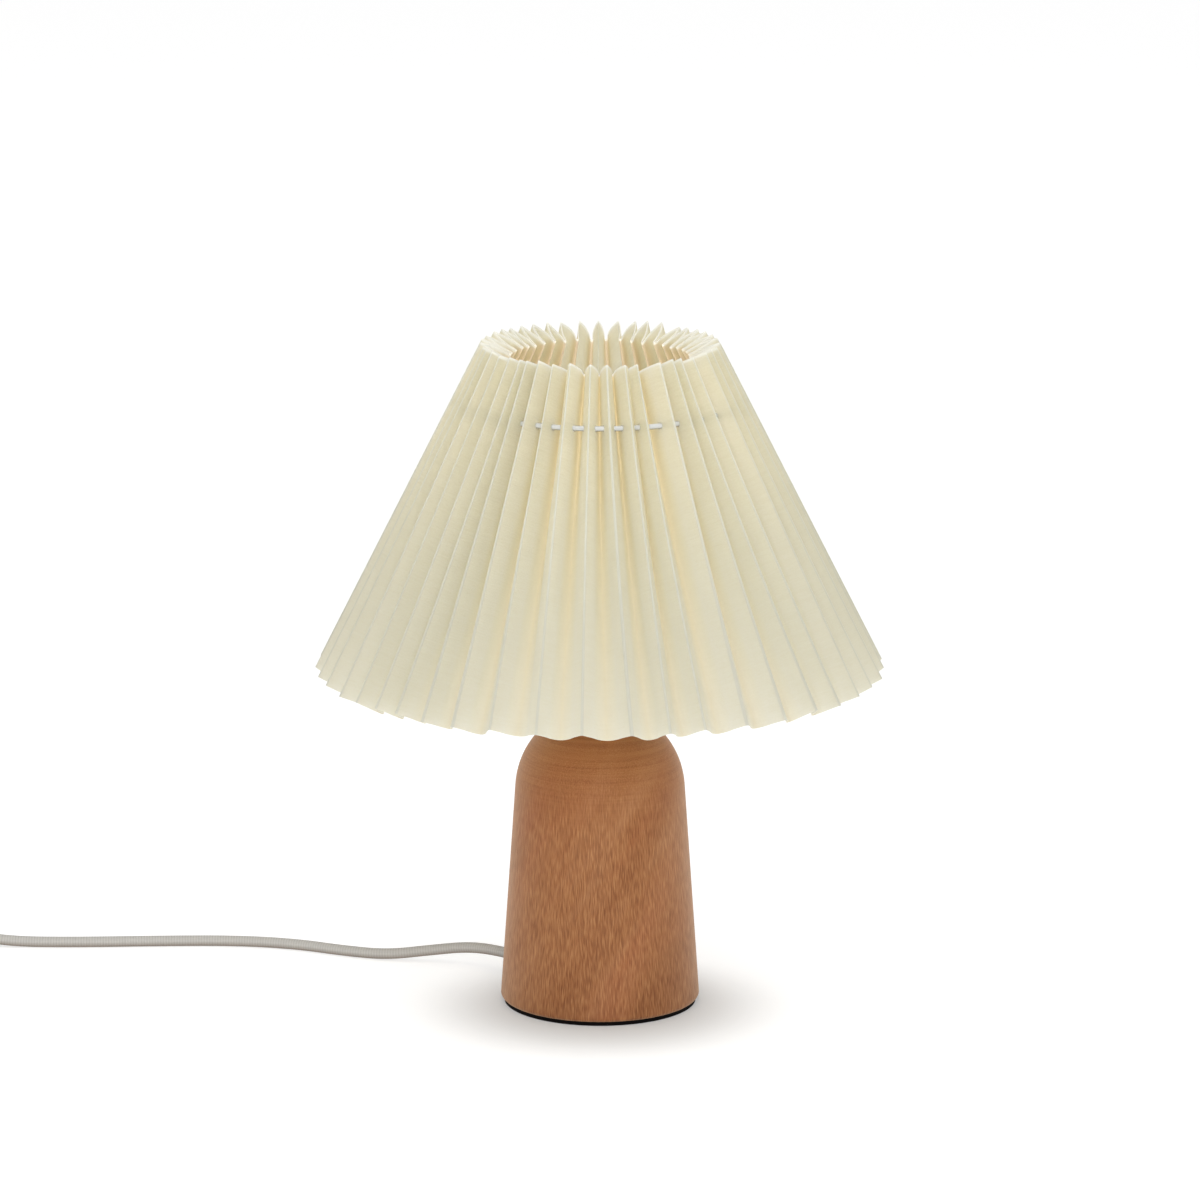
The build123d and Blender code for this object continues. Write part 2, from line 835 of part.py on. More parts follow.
def switch_cover():
    body = switch_slab(0, switch_base_height, switch_top)
    body = fillet(body.edges().filter_by_position(Axis.Z, switch_top, switch_top), switch_edge_fillet)
    body -= switch_slab(switch_wall, switch_base_height, cover_ceiling)
    for x, y in pillar_places:
        body += Pos(x, y, 0) * disc_between(pillar_radius, switch_base_height, cover_ceiling + switch_wall / 2)
        body -= Pos(x, y, 0) * disc_between(screw_radius + seat_gap, switch_base_height, screw_length + seat_gap)
    boss_bottom = rocker_pivot_height - rocker_pin_radius - boss_width
    boss_top_height = cover_ceiling + switch_wall / 2
    boss = Box(2 * boss_half_length, boss_width, boss_top_height - boss_bottom, align=from_bottom)
    for side in (-1, 1):
        body += Pos(0, side * (window_half_width + boss_width / 2), boss_bottom) * boss
    body -= Box(2 * window_half_length, 2 * window_half_width, 2 * switch_top + switch_wall)
    pin_hole = Rot(90, 0, 0) * Cylinder(rocker_pin_radius + pivot_gap, 2 * (window_half_width + boss_width))
    body -= Pos(0, 0, rocker_pivot_height) * pin_hole
    return switch_place * (body - cord_way())


def switch_rocker():
    """The rocker with its two pivot pins, tipped to its off side."""
    low = -rocker_depth
    outline = Polyline(
        (-rocker_half_length, low),
        (rocker_half_length, low),
        (rocker_half_length, rocker_rise),
        (0, rocker_rise - rocker_dip),
        (-rocker_half_length, rocker_rise),
        close=True,
    )
    body = extrude(Plane.XZ * make_face(outline), rocker_half_width, both=True)
    body += Rot(90, 0, 0) * Cylinder(rocker_pin_radius, 2 * (rocker_half_width + rocker_pin_length))
    return switch_place * Pos(0, 0, rocker_pivot_height) * Rot(0, -rocker_tilt, 0) * body


def switch_screw(number):
    """One screw from below, through the base into the cover."""
    x, y = pillar_places[number]
    shank = disc_between(screw_radius, screw_head_height, screw_length)
    head = disc_between(screw_head_radius, seat_gap, screw_head_height)
    slot = Box(2 * screw_head_radius, screw_slot_width, screw_head_height, align=(Align.CENTER,) * 3)
    return switch_place * Pos(x, y, 0) * (head + shank - slot)


def switch_terminal(side):
    """One brass block on the floor of the switch's base."""
    block = Box(switch_terminal_length, switch_terminal_width, switch_terminal_height, align=from_bottom)
    return switch_place * Pos(side * switch_terminal_x, switch_terminal_y, switch_wall) * block


# Plug

plug_place = Pos(plug_nose_end, plug_line, plug_axis_height)
plug_face = plug_nose_length + plug_length


def plug_body():
    """A flat plug, waisted for the fingers, with a tapered nose for the cord."""
    nose_end_radius = cord_hole + plug_nose_wall
    half_back = nose_end_radius + plug_nose_wall
    half_waist = plug_waist / 2
    half_face = plug_width / 2
    outline = Polyline(
        (plug_nose_length, -half_back),
        (plug_nose_length + plug_waist_from_back, -half_waist),
        (plug_nose_length + plug_face_from_back, -half_face),
        (plug_face, -half_face),
        (plug_face, half_face),
        (plug_nose_length + plug_face_from_back, half_face),
        (plug_nose_length + plug_waist_from_back, half_waist),
        (plug_nose_length, half_back),
        close=True,
    )
    body = extrude(make_face(outline), plug_thickness / 2, both=True)
    body = fillet(body.edges(), plug_fillet)
    nose = Rot(0, 90, 0) * Cone(
        nose_end_radius, half_back, plug_nose_length + plug_fillet, align=from_bottom
    )
    body = body + nose
    for side in (-1, 1):
        body -= Pos(0, side * pin_spacing / 2, 0) * round_bar(
            (plug_face - pin_sunk, 0, 0), (2 * plug_face, 0, 0), pin_core_radius
        )
    return plug_place * body


def plug_pin(side):
    """One pin: a thin core behind its sleeve and a full-size tip."""
    core = round_bar((plug_face - pin_sunk, 0, 0), (plug_face + sleeve_length, 0, 0), pin_core_radius)
    tip = round_bar((plug_face + sleeve_length, 0, 0), (plug_face + pin_length, 0, 0), pin_radius)
    tip = fillet(tip.edges().sort_by(Axis.X)[-1], pin_radius / 2)
    return plug_place * Pos(0, side * pin_spacing / 2, 0) * (core + tip)


def plug_sleeve(side):
    """The insulating sleeve on the inner half of one pin."""
    body = round_bar((plug_face, 0, 0), (plug_face + sleeve_length, 0, 0), sleeve_radius)
    body -= round_bar((0, 0, 0), (2 * plug_face, 0, 0), pin_core_radius)
    return plug_place * Pos(0, side * pin_spacing / 2, 0) * body


def all_nodes():
    """Every piece of the lamp by its name."""
    nodes = {
        "wood_base": wood_base(),
        "base_pad": base_pad(),
        "threaded_tube": threaded_tube(),
        "tube_washer": tube_washer(),
        "tube_nut": tube_nut(),
        "seat_washer": seat_washer(),
        "cord_bush": cord_bush(),
        "cord_stop": cord_stop(),
        "inner_cord": inner_cord(),
        "holder_cap": holder_cap(),
        "holder_shell": holder_shell(),
        "holder_core": holder_core(),
        "screw_contact": screw_contact(),
        "centre_contact": centre_contact(),
        "shade_ring": shade_ring(),
        "bulb_glass": bulb_glass(),
        "bulb_cap": bulb_cap(),
        "bulb_insulator": bulb_insulator(),
        "bulb_contact": bulb_contact(),
        "bulb_stem": bulb_stem(),
        "pleated_shade": pleated_shade(),
        "shade_wire_ring": wire_ring_at(wire_radius),
        "carrier_collar": carrier_collar(),
        "cord_lead": cord_lead(),
        "cord_coil": cord_coil(),
        "coil_tie": coil_tie(),
        "switch_base": switch_base(),
        "switch_cover": switch_cover(),
        "switch_rocker": switch_rocker(),
        "plug_body": plug_body(),
    }
    for number, side in ((1, -1), (2, 1)):
        nodes[f"conductor_{number}"] = conductor(side)
        nodes[f"holder_terminal_{number}"] = holder_terminal(side)
        nodes[f"switch_screw_{number}"] = switch_screw(number - 1)
        nodes[f"switch_terminal_{number}"] = switch_terminal(side)
        nodes[f"plug_pin_{number}"] = plug_pin(side)
        nodes[f"plug_sleeve_{number}"] = plug_sleeve(side)
    for number in range(leg_count):
        nodes[f"carrier_leg_{number + 1}"] = carrier_leg(number)
    for number in range(filament_count):
        nodes[f"bulb_filament_{number + 1}"] = bulb_filament(number)
    return nodes


os.makedirs("parts", exist_ok=True)
for name, shape in all_nodes().items():
    export_step(shape, f"parts/{name}.step")
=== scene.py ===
import json
import math
import random

import bmesh
import bpy
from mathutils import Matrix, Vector, noise


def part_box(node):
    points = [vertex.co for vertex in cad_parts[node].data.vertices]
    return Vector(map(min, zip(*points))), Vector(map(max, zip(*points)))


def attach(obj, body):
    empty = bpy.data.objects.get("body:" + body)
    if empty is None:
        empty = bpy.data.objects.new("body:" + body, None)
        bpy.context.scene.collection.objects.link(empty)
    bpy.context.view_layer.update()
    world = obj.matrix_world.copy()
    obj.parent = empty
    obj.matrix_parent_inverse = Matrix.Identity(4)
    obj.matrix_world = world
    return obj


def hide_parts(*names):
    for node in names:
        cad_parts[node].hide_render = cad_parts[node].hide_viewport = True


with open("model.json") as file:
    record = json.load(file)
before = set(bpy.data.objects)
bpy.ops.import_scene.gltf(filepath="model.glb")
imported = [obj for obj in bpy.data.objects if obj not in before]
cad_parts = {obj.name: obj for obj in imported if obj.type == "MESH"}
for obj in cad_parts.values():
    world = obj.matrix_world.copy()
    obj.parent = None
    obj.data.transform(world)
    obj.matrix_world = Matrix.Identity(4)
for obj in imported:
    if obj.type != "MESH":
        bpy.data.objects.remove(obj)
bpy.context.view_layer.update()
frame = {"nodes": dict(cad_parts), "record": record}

# A pleated table lamp on a pale floor. Metres, +Z up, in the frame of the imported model.
# Angles round the lamp are in degrees from the front, growing to the right.

CAMERA_PLACE = (0.0, -3.32245, 0.9917)
CAMERA_TILT = 76.897
CAMERA_LENS = 194.38
CAMERA_SENSOR = 36.0

# Soft studio light
SKY_LOW = 1.0
SKY_HIGH = 0.64
SKY_FADE_END = 0.4
LIGHT_TARGET = (0.0, 0.0, 0.2)
OVERHEAD_PLACE = (0.15, -0.3, 2.6)
OVERHEAD_SIZE = 2.4
OVERHEAD_POWER = 22.0
FRONT_PLACE = (-0.1, -3.4, 1.3)
FRONT_SIZE = 2.2
FRONT_POWER = 38.0
INSIDE_PLACE = (0.0, 0.0, 0.306)
INSIDE_SIZE = 0.035
INSIDE_POWER = 0.132
INSIDE_TINT = (1.0, 0.90, 0.87)

# Floor, whose own light fades towards the foot as a painted shadow; the shadow's reach is in foot radii
FOOT_RADIUS = 0.053
FLOOR_HALF = 30.0
FLOOR_TONE = 0.55
FLOOR_GLOW = 0.6
SHADOW_GLOW = 0.2
SHADOW_SHIFT = 0.015
SHADOW_START = 0.7
SHADOW_END = 2.1

# Angles over which an edge stays sharp, in degrees
SOLID_CREASE = 30
TURNED_CREASE = 40
CORD_CREASE = 60
CLOTH_CREASE = 33

# Wood: heights between which the dome's turning marks set in, and the tilt and stretch of its grain
DOME_START = 0.10
DOME_FULL = 0.14
BAND_TILT = 60
BAND_STRETCH = (0.5, 0.7, 3.0)
WALL_GRAIN = (2800, 2800, 170)
DOME_GRAIN = (3000, 3000, 120)
TURNING_MARKS = (14, 14, 900)
WOOD_RELIEF = 0.00004

# Pleated sheet
PANEL_WIDTH = 0.0185
SHEET_THICKNESS = 0.00045
SHEET_TOP_RADIUS = 0.0623
SHEET_BOTTOM_RADIUS = 0.150
SHEET_TOP_HEIGHT = 0.3566
SHEET_BOTTOM_HEIGHT = 0.183
SHEET_LEAN = math.atan2(SHEET_BOTTOM_RADIUS - SHEET_TOP_RADIUS, SHEET_TOP_HEIGHT - SHEET_BOTTOM_HEIGHT)
SHEET_LENGTH = math.hypot(SHEET_BOTTOM_RADIUS - SHEET_TOP_RADIUS, SHEET_TOP_HEIGHT - SHEET_BOTTOM_HEIGHT)
SHEET_ROWS = 40
PANEL_STEPS = 6
RIDGE_HALF_TOP = 0.00028
RIDGE_HALF_BOTTOM = 0.0006
RIDGE_CROWN = 0.00012
VALLEY_CORNER_TOP = 0.10
VALLEY_CORNER_BOTTOM = 0.42
VALLEY_STEPS = 6
DEPTH_SHARE_BOTTOM = 0.92
PANEL_BOW_TOP = 0.0011
PANEL_BOW_BOTTOM = 0.0005
PANEL_WAVE = 0.00035
PANEL_WAVE_STEPS = (7.3, 5.0, 1.2)
UPWARD_STEP = 0.02
RING_HOLE_RADIUS = 0.0019
RING_CUTTER_STEPS = 180
RING_CUTTER_SIDES = 14
CLOTH_GLOW_SHARE = 0.78
CLOTH_RELIEF = 0.0004

# How much the pleats differ from each other
HABIT_SEED = 11
FOLD_END_SHIFT = 0.004
VALLEY_LEAN = 0.35
RIDGE_WIDTH_RANGE = (0.7, 1.35)
BOW_RANGE = (0.5, 1.5)

# Ridges of the front half at the top and at the bottom edge, those seen at the back, and one over a wire leg
FRONT_RIDGES = [
    (-77.0, -80.0), (-71.2, -72.3), (-64.0, -63.8), (-56.0, -57.0), (-48.3, -50.3), (-41.3, -44.3),
    (-37.0, -37.2), (-30.5, -30.0), (-22.8, -22.0), (-14.2, -12.5), (-4.5, -3.5), (3.2, 6.2),
    (11.9, 13.8), (17.8, 21.0), (29.5, 30.0), (37.0, 39.2), (42.0, 48.0), (50.0, 55.5),
    (61.5, 63.5), (68.0, 71.0), (76.5, 79.5),
]
BACK_RIDGES = [132.3, 138.0, 148.2, 156.0, 162.4, 171.1, 180.8, 189.9, 199.3, 206.7, 214.6]
LEG_RIDGE = 244.0
RIGHT_SIDE_GAPS = 7
BACK_TO_LEG_GAPS = 4
LEG_TO_FRONT_GAPS = 4

# Cord
CORD_RADIUS = 0.0029
CORD_SIDES = 20
CORD_STEP = 0.002
BRAID_STRANDS = 12
BRAID_PITCH = 0.0030
CORD_ROUTE = [
    (-0.04593, 0.04593, 0.0105), (-0.05583, 0.05583, 0.0105), (-0.072, 0.066, 0.0095),
    (-0.092, 0.0715, 0.006), (-0.116, 0.073, 0.0029), (-0.140, 0.081, 0.0029),
    (-0.166, 0.094, 0.0029), (-0.199, 0.1008, 0.0029), (-0.239, 0.1004, 0.0029),
    (-0.288, 0.0976, 0.0029), (-0.324, 0.099, 0.0029), (-0.348, 0.100, 0.007),
    (-0.373, 0.100, 0.007), (-0.425, 0.100, 0.007), (-0.4358, 0.100, 0.007),
]
CORD_TAIL = [
    (-0.458, 0.015, 0.0103), (-0.445, 0.015, 0.0086), (-0.432, 0.015, 0.007), (-0.4262, 0.015, 0.007),
]
COIL_CENTRE = (-0.470, 0.0575)
COIL_RADIUS = 0.0425
COIL_PITCH = 0.0063
COIL_LOW = 0.004
COIL_TURNS_EACH_WAY = 3
COIL_CLIMB_TURNS = 0.5
COIL_CLIMB_DIP = 0.0012
COIL_POINTS_PER_TURN = 24
INNER_ROUTE = [
    (-0.04593, 0.04593, 0.0105), (-0.021, 0.021, 0.0105), (-0.008, 0.008, 0.0105), (0.0, 0.0, 0.0105),
    (0.0, 0.0, 0.022), (0.0, 0.0, 0.080), (0.0, 0.0, 0.1665),
]

# Screw threads of the lampholder's skirt and of the bulb's cap
TURNED_SIDES = 72
THREAD_STEPS_PER_TURN = 8
SKIRT_PITCH = 0.0025
SKIRT_THREAD_DEPTH = 0.0005
SKIRT_RADIUS = 0.01975
SKIRT_BORE = 0.01775
SKIRT_TOP = 0.2143
SPIGOT_RADIUS = 0.01765
SPIGOT_BORE = 0.0159
SPIGOT_BOTTOM = 0.1768
FLANGE_RADIUS = 0.024
FLANGE_BOTTOM = 0.1818
FLANGE_TOP = 0.1843
EDGE_ROUNDING = 0.0004
BULB_PITCH = 0.0036
BULB_THREAD_DEPTH = 0.0005
BULB_CAP_WALL = 0.00025
BULB_CAP_TOE_RADIUS = 0.0095
BULB_CAP_TOE_HEIGHT = 0.003
BULB_CAP_RIM = 0.0025
CONTACT_WALL = 0.0004

# Ribs on the plug's nose
PLUG_NOSE_END = (-0.4262, 0.015, 0.007)
PLUG_NOSE_RADII = (0.0046, 0.0062)
PLUG_NOSE_LENGTH = 0.023
PLUG_RIBS = 5
PLUG_RIB_SPACING = 0.0034
PLUG_RIB_HALF_WIDTH = 0.0008
PLUG_RIB_HEIGHT = 0.0005


# Small tools

def polar(radius, angle, height):
    """The point at a radius, an angle from the front and a height."""
    turn = math.radians(angle)
    return Vector((radius * math.sin(turn), -radius * math.cos(turn), height))


def mixed(first, second, share):
    return first + (second - first) * share


def colour(red, green, blue):
    """A linear colour from its 0 to 255 screen values."""
    linear = []
    for value in (red, green, blue):
        share = value / 255
        linear.append(share / 12.92 if share <= 0.04045 else ((share + 0.055) / 1.055) ** 2.4)
    return (*linear, 1.0)


def new_object(name, mesh):
    made = bpy.data.objects.new(name, mesh)
    bpy.context.scene.collection.objects.link(made)
    return made


def object_from(name, made):
    """An object from a finished bmesh, which is freed."""
    mesh = bpy.data.meshes.new(name)
    made.to_mesh(mesh)
    made.free()
    return new_object(name, mesh)


def evaluated_mesh(thing):
    """A plain mesh of an object with its modifiers applied."""
    graph = bpy.context.evaluated_depsgraph_get()
    return bpy.data.meshes.new_from_object(thing.evaluated_get(graph))


def smooth_with_creases(mesh, degrees):
    mesh.polygons.foreach_set("use_smooth", [True] * len(mesh.polygons))
    mesh.set_sharp_from_angle(angle=math.radians(degrees))


# Shader graphs

def new_material(name):
    made = bpy.data.materials.new(name)
    made.use_nodes = True
    return made, made.node_tree, made.node_tree.nodes["Principled BSDF"]


def add_node(tree, kind, inputs=None, **settings):
    """A shader node with its settings; its inputs are numbers, colours or other nodes' outputs."""
    made = tree.nodes.new(kind)
    for key, value in settings.items():
        setattr(made, key, value)
    for key, value in (inputs or {}).items():
        if isinstance(value, bpy.types.NodeSocket):
            tree.links.new(value, made.inputs[key])
        else:
            made.inputs[key].default_value = value
    return made


def stretched(tree, where, stretch):
    return add_node(tree, "ShaderNodeMapping", {"Vector": where, "Scale": stretch}).outputs[0]


def place(tree, source="Object", stretch=(1, 1, 1)):
    """A place on the surface: object space or the unwrapped map, stretched."""
    coordinates = add_node(tree, "ShaderNodeTexCoord")
    return stretched(tree, coordinates.outputs[source], stretch)


def speckle(tree, where, scale, detail=4.0, roughness=0.6):
    return add_node(
        tree, "ShaderNodeTexNoise",
        {"Vector": where, "Scale": scale, "Detail": detail, "Roughness": roughness},
    ).outputs[0]


def ramp(tree, value, *stops):
    """A colour ramp from pairs of a position and a colour."""
    made = add_node(tree, "ShaderNodeValToRGB", {"Fac": value})
    elements = made.color_ramp.elements
    while len(elements) < len(stops):
        elements.new(0.5)
    for element, (position, shade) in zip(elements, stops):
        element.position = position
        element.color = shade
    return made.outputs[0]


def map_range(tree, value, start, end, low=0.0, high=1.0, **settings):
    inputs = {0: value, 1: start, 2: end, 3: low, 4: high}
    return add_node(tree, "ShaderNodeMapRange", inputs, **settings).outputs[0]


def grey(value):
    return (value, value, value, 1.0)


def mix_colours(tree, share, first, second):
    inputs = {0: share, 6: first, 7: second}
    return add_node(tree, "ShaderNodeMix", inputs, data_type="RGBA").outputs[2]


def maths(tree, operation, *values):
    return add_node(tree, "ShaderNodeMath", dict(enumerate(values)), operation=operation).outputs[0]


def bump(tree, height, distance, strength):
    inputs = {"Height": height, "Distance": distance, "Strength": strength}
    return add_node(tree, "ShaderNodeBump", inputs).outputs[0]


def painted_shade_below(tree, tint, dark, start, end, most):
    """A tint with painted shade where the surface faces down, between two values of its upward lean."""
    normal = add_node(tree, "ShaderNodeTexCoord").outputs["Normal"]
    lean = add_node(tree, "ShaderNodeSeparateXYZ", {"Vector": normal}).outputs[2]
    return mix_colours(tree, map_range(tree, lean, start, end, 0.0, most), tint, dark)


def wire(tree, shader, **sockets):
    """Links or sets a shader's inputs by their names, with underscores for spaces."""
    for key, value in sockets.items():
        socket = shader.inputs[key.replace("_", " ")]
        if isinstance(value, bpy.types.NodeSocket):
            tree.links.new(value, socket)
        else:
            socket.default_value = value


# Materials

def fabric_of_shade(name, fold_from, fold_share, painted_fold_tint):
    """Thin cream cloth that lets much light through, with cross threads; grey crease lines, paler valleys
    with a painted fold tint, a greyer lower edge and a whiter top edge are painted light and shade.
    """
    made, tree, shader = new_material(name)
    threads = speckle(tree, place(tree, "UV", (90, 1500, 1)), 3.0, 3.0)
    slubs = speckle(tree, place(tree, "UV", (55, 850, 1)), 1.0, 2.0)
    fibres = speckle(tree, place(tree, "UV", (500, 700, 1)), 1.5, 4.0, 0.7)
    clouds = speckle(tree, place(tree, "UV", (25, 25, 1)), 1.5, 2.0)
    weave = mix_colours(tree, 0.4, mix_colours(tree, 0.5, threads, slubs), fibres)
    thick_yarn = ramp(tree, weave, (0.38, grey(0.4)), (0.62, grey(0.0)))
    spot = add_node(tree, "ShaderNodeSeparateXYZ", {"Vector": place(tree, "UV")})
    from_ridge = maths(tree, "DIVIDE", maths(tree, "PINGPONG", spot.outputs[0], PANEL_WIDTH), PANEL_WIDTH)
    # Painted shade: grey lines along each ridge crease, paler higher up.
    painted_crease_shade = ramp(tree, from_ridge, (0.015, grey(1.0)), (0.05, grey(0.0)))
    # Painted light: the panels grow paler towards each valley, where shade falls.
    painted_valley_light = ramp(tree, from_ridge, (0.04, grey(0.0)), (0.9, grey(1.0)))
    # A tint painted deep in each fold: a warm glow on the outer skin, painted shade on the inner skin.
    deep = ramp(tree, from_ridge, (fold_from, grey(0.0)), (1.0, grey(1.0)))
    high_up = map_range(tree, spot.outputs[1], 0.05, 0.17, 0.15)
    # Painted shade: a greyer tone near the lower edge, against the floor's light.
    low_down = maths(tree, "SUBTRACT", 1.0, high_up)
    painted_fold_mask = maths(tree, "MULTIPLY", deep, map_range(tree, spot.outputs[1], 0.0, 0.17, 0.4))
    share_up = maths(tree, "DIVIDE", spot.outputs[1], SHEET_LENGTH)
    # Painted highlight: whiter along the top cut edge.
    painted_rim_highlight = ramp(tree, share_up, (0.992, grey(0.0)), (0.996, grey(1.0)))
    tint = ramp(tree, weave, (0.36, colour(230, 228, 215)), (0.64, colour(250, 249, 240)))
    tint = mix_colours(tree, painted_valley_light, tint, colour(255, 254, 248))
    tint = mix_colours(tree, maths(tree, "MULTIPLY", clouds, 0.2), tint, colour(248, 244, 228))
    tint = mix_colours(tree, maths(tree, "MULTIPLY", low_down, 0.75), tint, colour(236, 235, 229))
    tint = mix_colours(tree, maths(tree, "MULTIPLY", painted_fold_mask, fold_share), tint, painted_fold_tint)
    crease_shade_tint = mix_colours(tree, high_up, colour(229, 229, 222), colour(241, 241, 236))
    tint = mix_colours(tree, painted_crease_shade, tint, crease_shade_tint)
    tint = mix_colours(tree, painted_rim_highlight, tint, colour(255, 255, 253))
    relief = bump(tree, weave, CLOTH_RELIEF, 0.6)
    wire(tree, shader, Base_Color=tint, Roughness=0.85, Specular_IOR_Level=0.2, Normal=relief)
    glow_tint = mix_colours(tree, painted_valley_light, colour(248, 246, 234), colour(255, 255, 252))
    glow_tint = mix_colours(tree, maths(tree, "MULTIPLY", low_down, 0.6), glow_tint, colour(243, 243, 237))
    glow_tint = mix_colours(tree, maths(tree, "MULTIPLY", painted_fold_mask, fold_share), glow_tint, painted_fold_tint)
    glow_tint = mix_colours(tree, thick_yarn, glow_tint, colour(236, 232, 216))
    glow_tint = mix_colours(tree, painted_crease_shade, glow_tint, crease_shade_tint)
    glow_tint = mix_colours(tree, painted_rim_highlight, glow_tint, colour(252, 252, 248))
    glow = add_node(tree, "ShaderNodeBsdfTranslucent", {"Color": glow_tint, "Normal": relief})
    mix_inputs = {0: CLOTH_GLOW_SHARE, 1: shader.outputs[0], 2: glow.outputs[0]}
    both = add_node(tree, "ShaderNodeMixShader", mix_inputs).outputs[0]
    tree.links.new(both, tree.nodes["Material Output"].inputs["Surface"])
    return made


def turned_wood():
    """Oiled wood with fine upright flecks, soft slanted bands and faint turning marks round the dome."""
    made, tree, shader = new_material("turned_wood")
    tilt = (0.0, math.radians(BAND_TILT), 0.0)
    turned = add_node(tree, "ShaderNodeMapping", {"Vector": place(tree), "Rotation": tilt}).outputs[0]
    slanted = stretched(tree, turned, BAND_STRETCH)
    bands = speckle(tree, slanted, 17.0, 3.0, 0.5)
    patches = speckle(tree, slanted, 11.0, 2.0)
    height = add_node(tree, "ShaderNodeSeparateXYZ", {"Vector": place(tree)}).outputs[2]
    on_dome = map_range(tree, height, DOME_START, DOME_FULL)
    level = place(tree, "Object", (1, 1, 0))
    outward = add_node(tree, "ShaderNodeVectorMath", {0: level}, operation="NORMALIZE").outputs[0]
    upward = add_node(tree, "ShaderNodeCombineXYZ", {2: height}).outputs[0]
    wall_inputs = {0: outward, 1: (FOOT_RADIUS,) * 3, 2: upward}
    on_wall = add_node(tree, "ShaderNodeVectorMath", wall_inputs, operation="MULTIPLY_ADD").outputs[0]
    along_wall = stretched(tree, on_wall, WALL_GRAIN)
    wall_flecks = speckle(tree, along_wall, 1.0, 1.0, 0.4)
    dome_flecks = speckle(tree, place(tree, "Object", DOME_GRAIN), 1.0, 2.0, 0.6)
    flecks = mix_colours(tree, on_dome, wall_flecks, dome_flecks)
    pores = speckle(tree, along_wall, 0.5, 2.0, 0.5)
    turning = speckle(tree, place(tree, "Object", TURNING_MARKS), 1.0, 2.0)
    band_tints = colour(130, 76, 36), colour(144, 91, 51), colour(158, 108, 70)
    tint = ramp(tree, bands, *zip((0.36, 0.5, 0.66), band_tints))
    reddish = ramp(tree, patches, (0.5, grey(0.0)), (0.68, grey(1.0)))
    tint = mix_colours(tree, maths(tree, "MULTIPLY", reddish, 0.5), tint, colour(150, 76, 36))
    fleck_tints = colour(94, 50, 21), colour(144, 89, 47), colour(188, 135, 84)
    streaks = ramp(tree, flecks, *zip((0.36, 0.5, 0.64), fleck_tints))
    tint = mix_colours(tree, 0.4, tint, streaks)
    dark_pores = ramp(tree, pores, (0.3, grey(1.0)), (0.4, grey(0.0)))
    tint = mix_colours(tree, maths(tree, "MULTIPLY", dark_pores, 0.1), tint, colour(98, 54, 26))
    marks = ramp(tree, turning, (0.35, colour(136, 80, 36)), (0.65, colour(170, 112, 62)))
    tint = mix_colours(tree, maths(tree, "MULTIPLY", on_dome, 0.4), tint, marks)
    relief = bump(tree, flecks, WOOD_RELIEF, 0.5)
    dull = ramp(tree, flecks, (0.3, grey(0.7)), (0.7, grey(0.52)))
    wire(tree, shader, Base_Color=tint, Roughness=dull, Normal=relief, Specular_IOR_Level=0.3)
    wire(tree, shader, Sheen_Weight=0.4, Sheen_Tint=colour(240, 214, 186))
    return made


def moulded_plastic(name, tone, dull, grain=0.00006, shine=0.5, underside=None):
    """Moulded plastic with a fine grain and uneven gloss, and painted shade on its underside where a tint for
    it is given.
    """
    made, tree, shader = new_material(name)
    where = place(tree)
    clouds = speckle(tree, where, 60.0, 3.0)
    grains = speckle(tree, where, 2600.0, 2.0)
    lighter = tuple(min(1.0, part * 1.06) for part in tone[:3]) + (1.0,)
    darker = tuple(part * 0.93 for part in tone[:3]) + (1.0,)
    tint = ramp(tree, clouds, (0.3, darker), (0.7, lighter))
    # Painted shade on the downward faces.
    if underside:
        tint = painted_shade_below(tree, tint, underside, -0.4, -0.9, 0.9)
    wire(tree, shader, Base_Color=tint, Specular_IOR_Level=shine)
    wire(tree, shader, Roughness=ramp(tree, clouds, (0.25, grey(dull - 0.06)), (0.75, grey(dull + 0.06))))
    wire(tree, shader, Normal=bump(tree, grains, grain, 0.5))
    return made


def plain_metal(name, tone, dull):
    """Metal with fine drawn lines and uneven gloss."""
    made, tree, shader = new_material(name)
    lines = speckle(tree, place(tree, "Object", (900, 900, 9000)), 1.0, 3.0)
    clouds = speckle(tree, place(tree), 90.0, 3.0)
    darker = tuple(part * 0.82 for part in tone[:3]) + (1.0,)
    wire(tree, shader, Base_Color=ramp(tree, clouds, (0.3, darker), (0.7, tone)), Metallic=1.0)
    wire(tree, shader, Roughness=ramp(tree, lines, (0.3, grey(dull - 0.08)), (0.7, grey(dull + 0.1))))
    wire(tree, shader, Normal=bump(tree, lines, 0.00003, 0.4))
    return made


def clear_glass():
    made, tree, shader = new_material("clear_glass")
    ripple = speckle(tree, place(tree), 45.0, 2.0)
    wire(tree, shader, Base_Color=(0.90, 0.93, 0.93, 1.0), Transmission_Weight=1.0, IOR=1.48)
    wire(tree, shader, Roughness=ramp(tree, ripple, (0.3, grey(0.0)), (0.7, grey(0.03))))
    wire(tree, shader, Normal=bump(tree, ripple, 0.0003, 0.15))
    return made


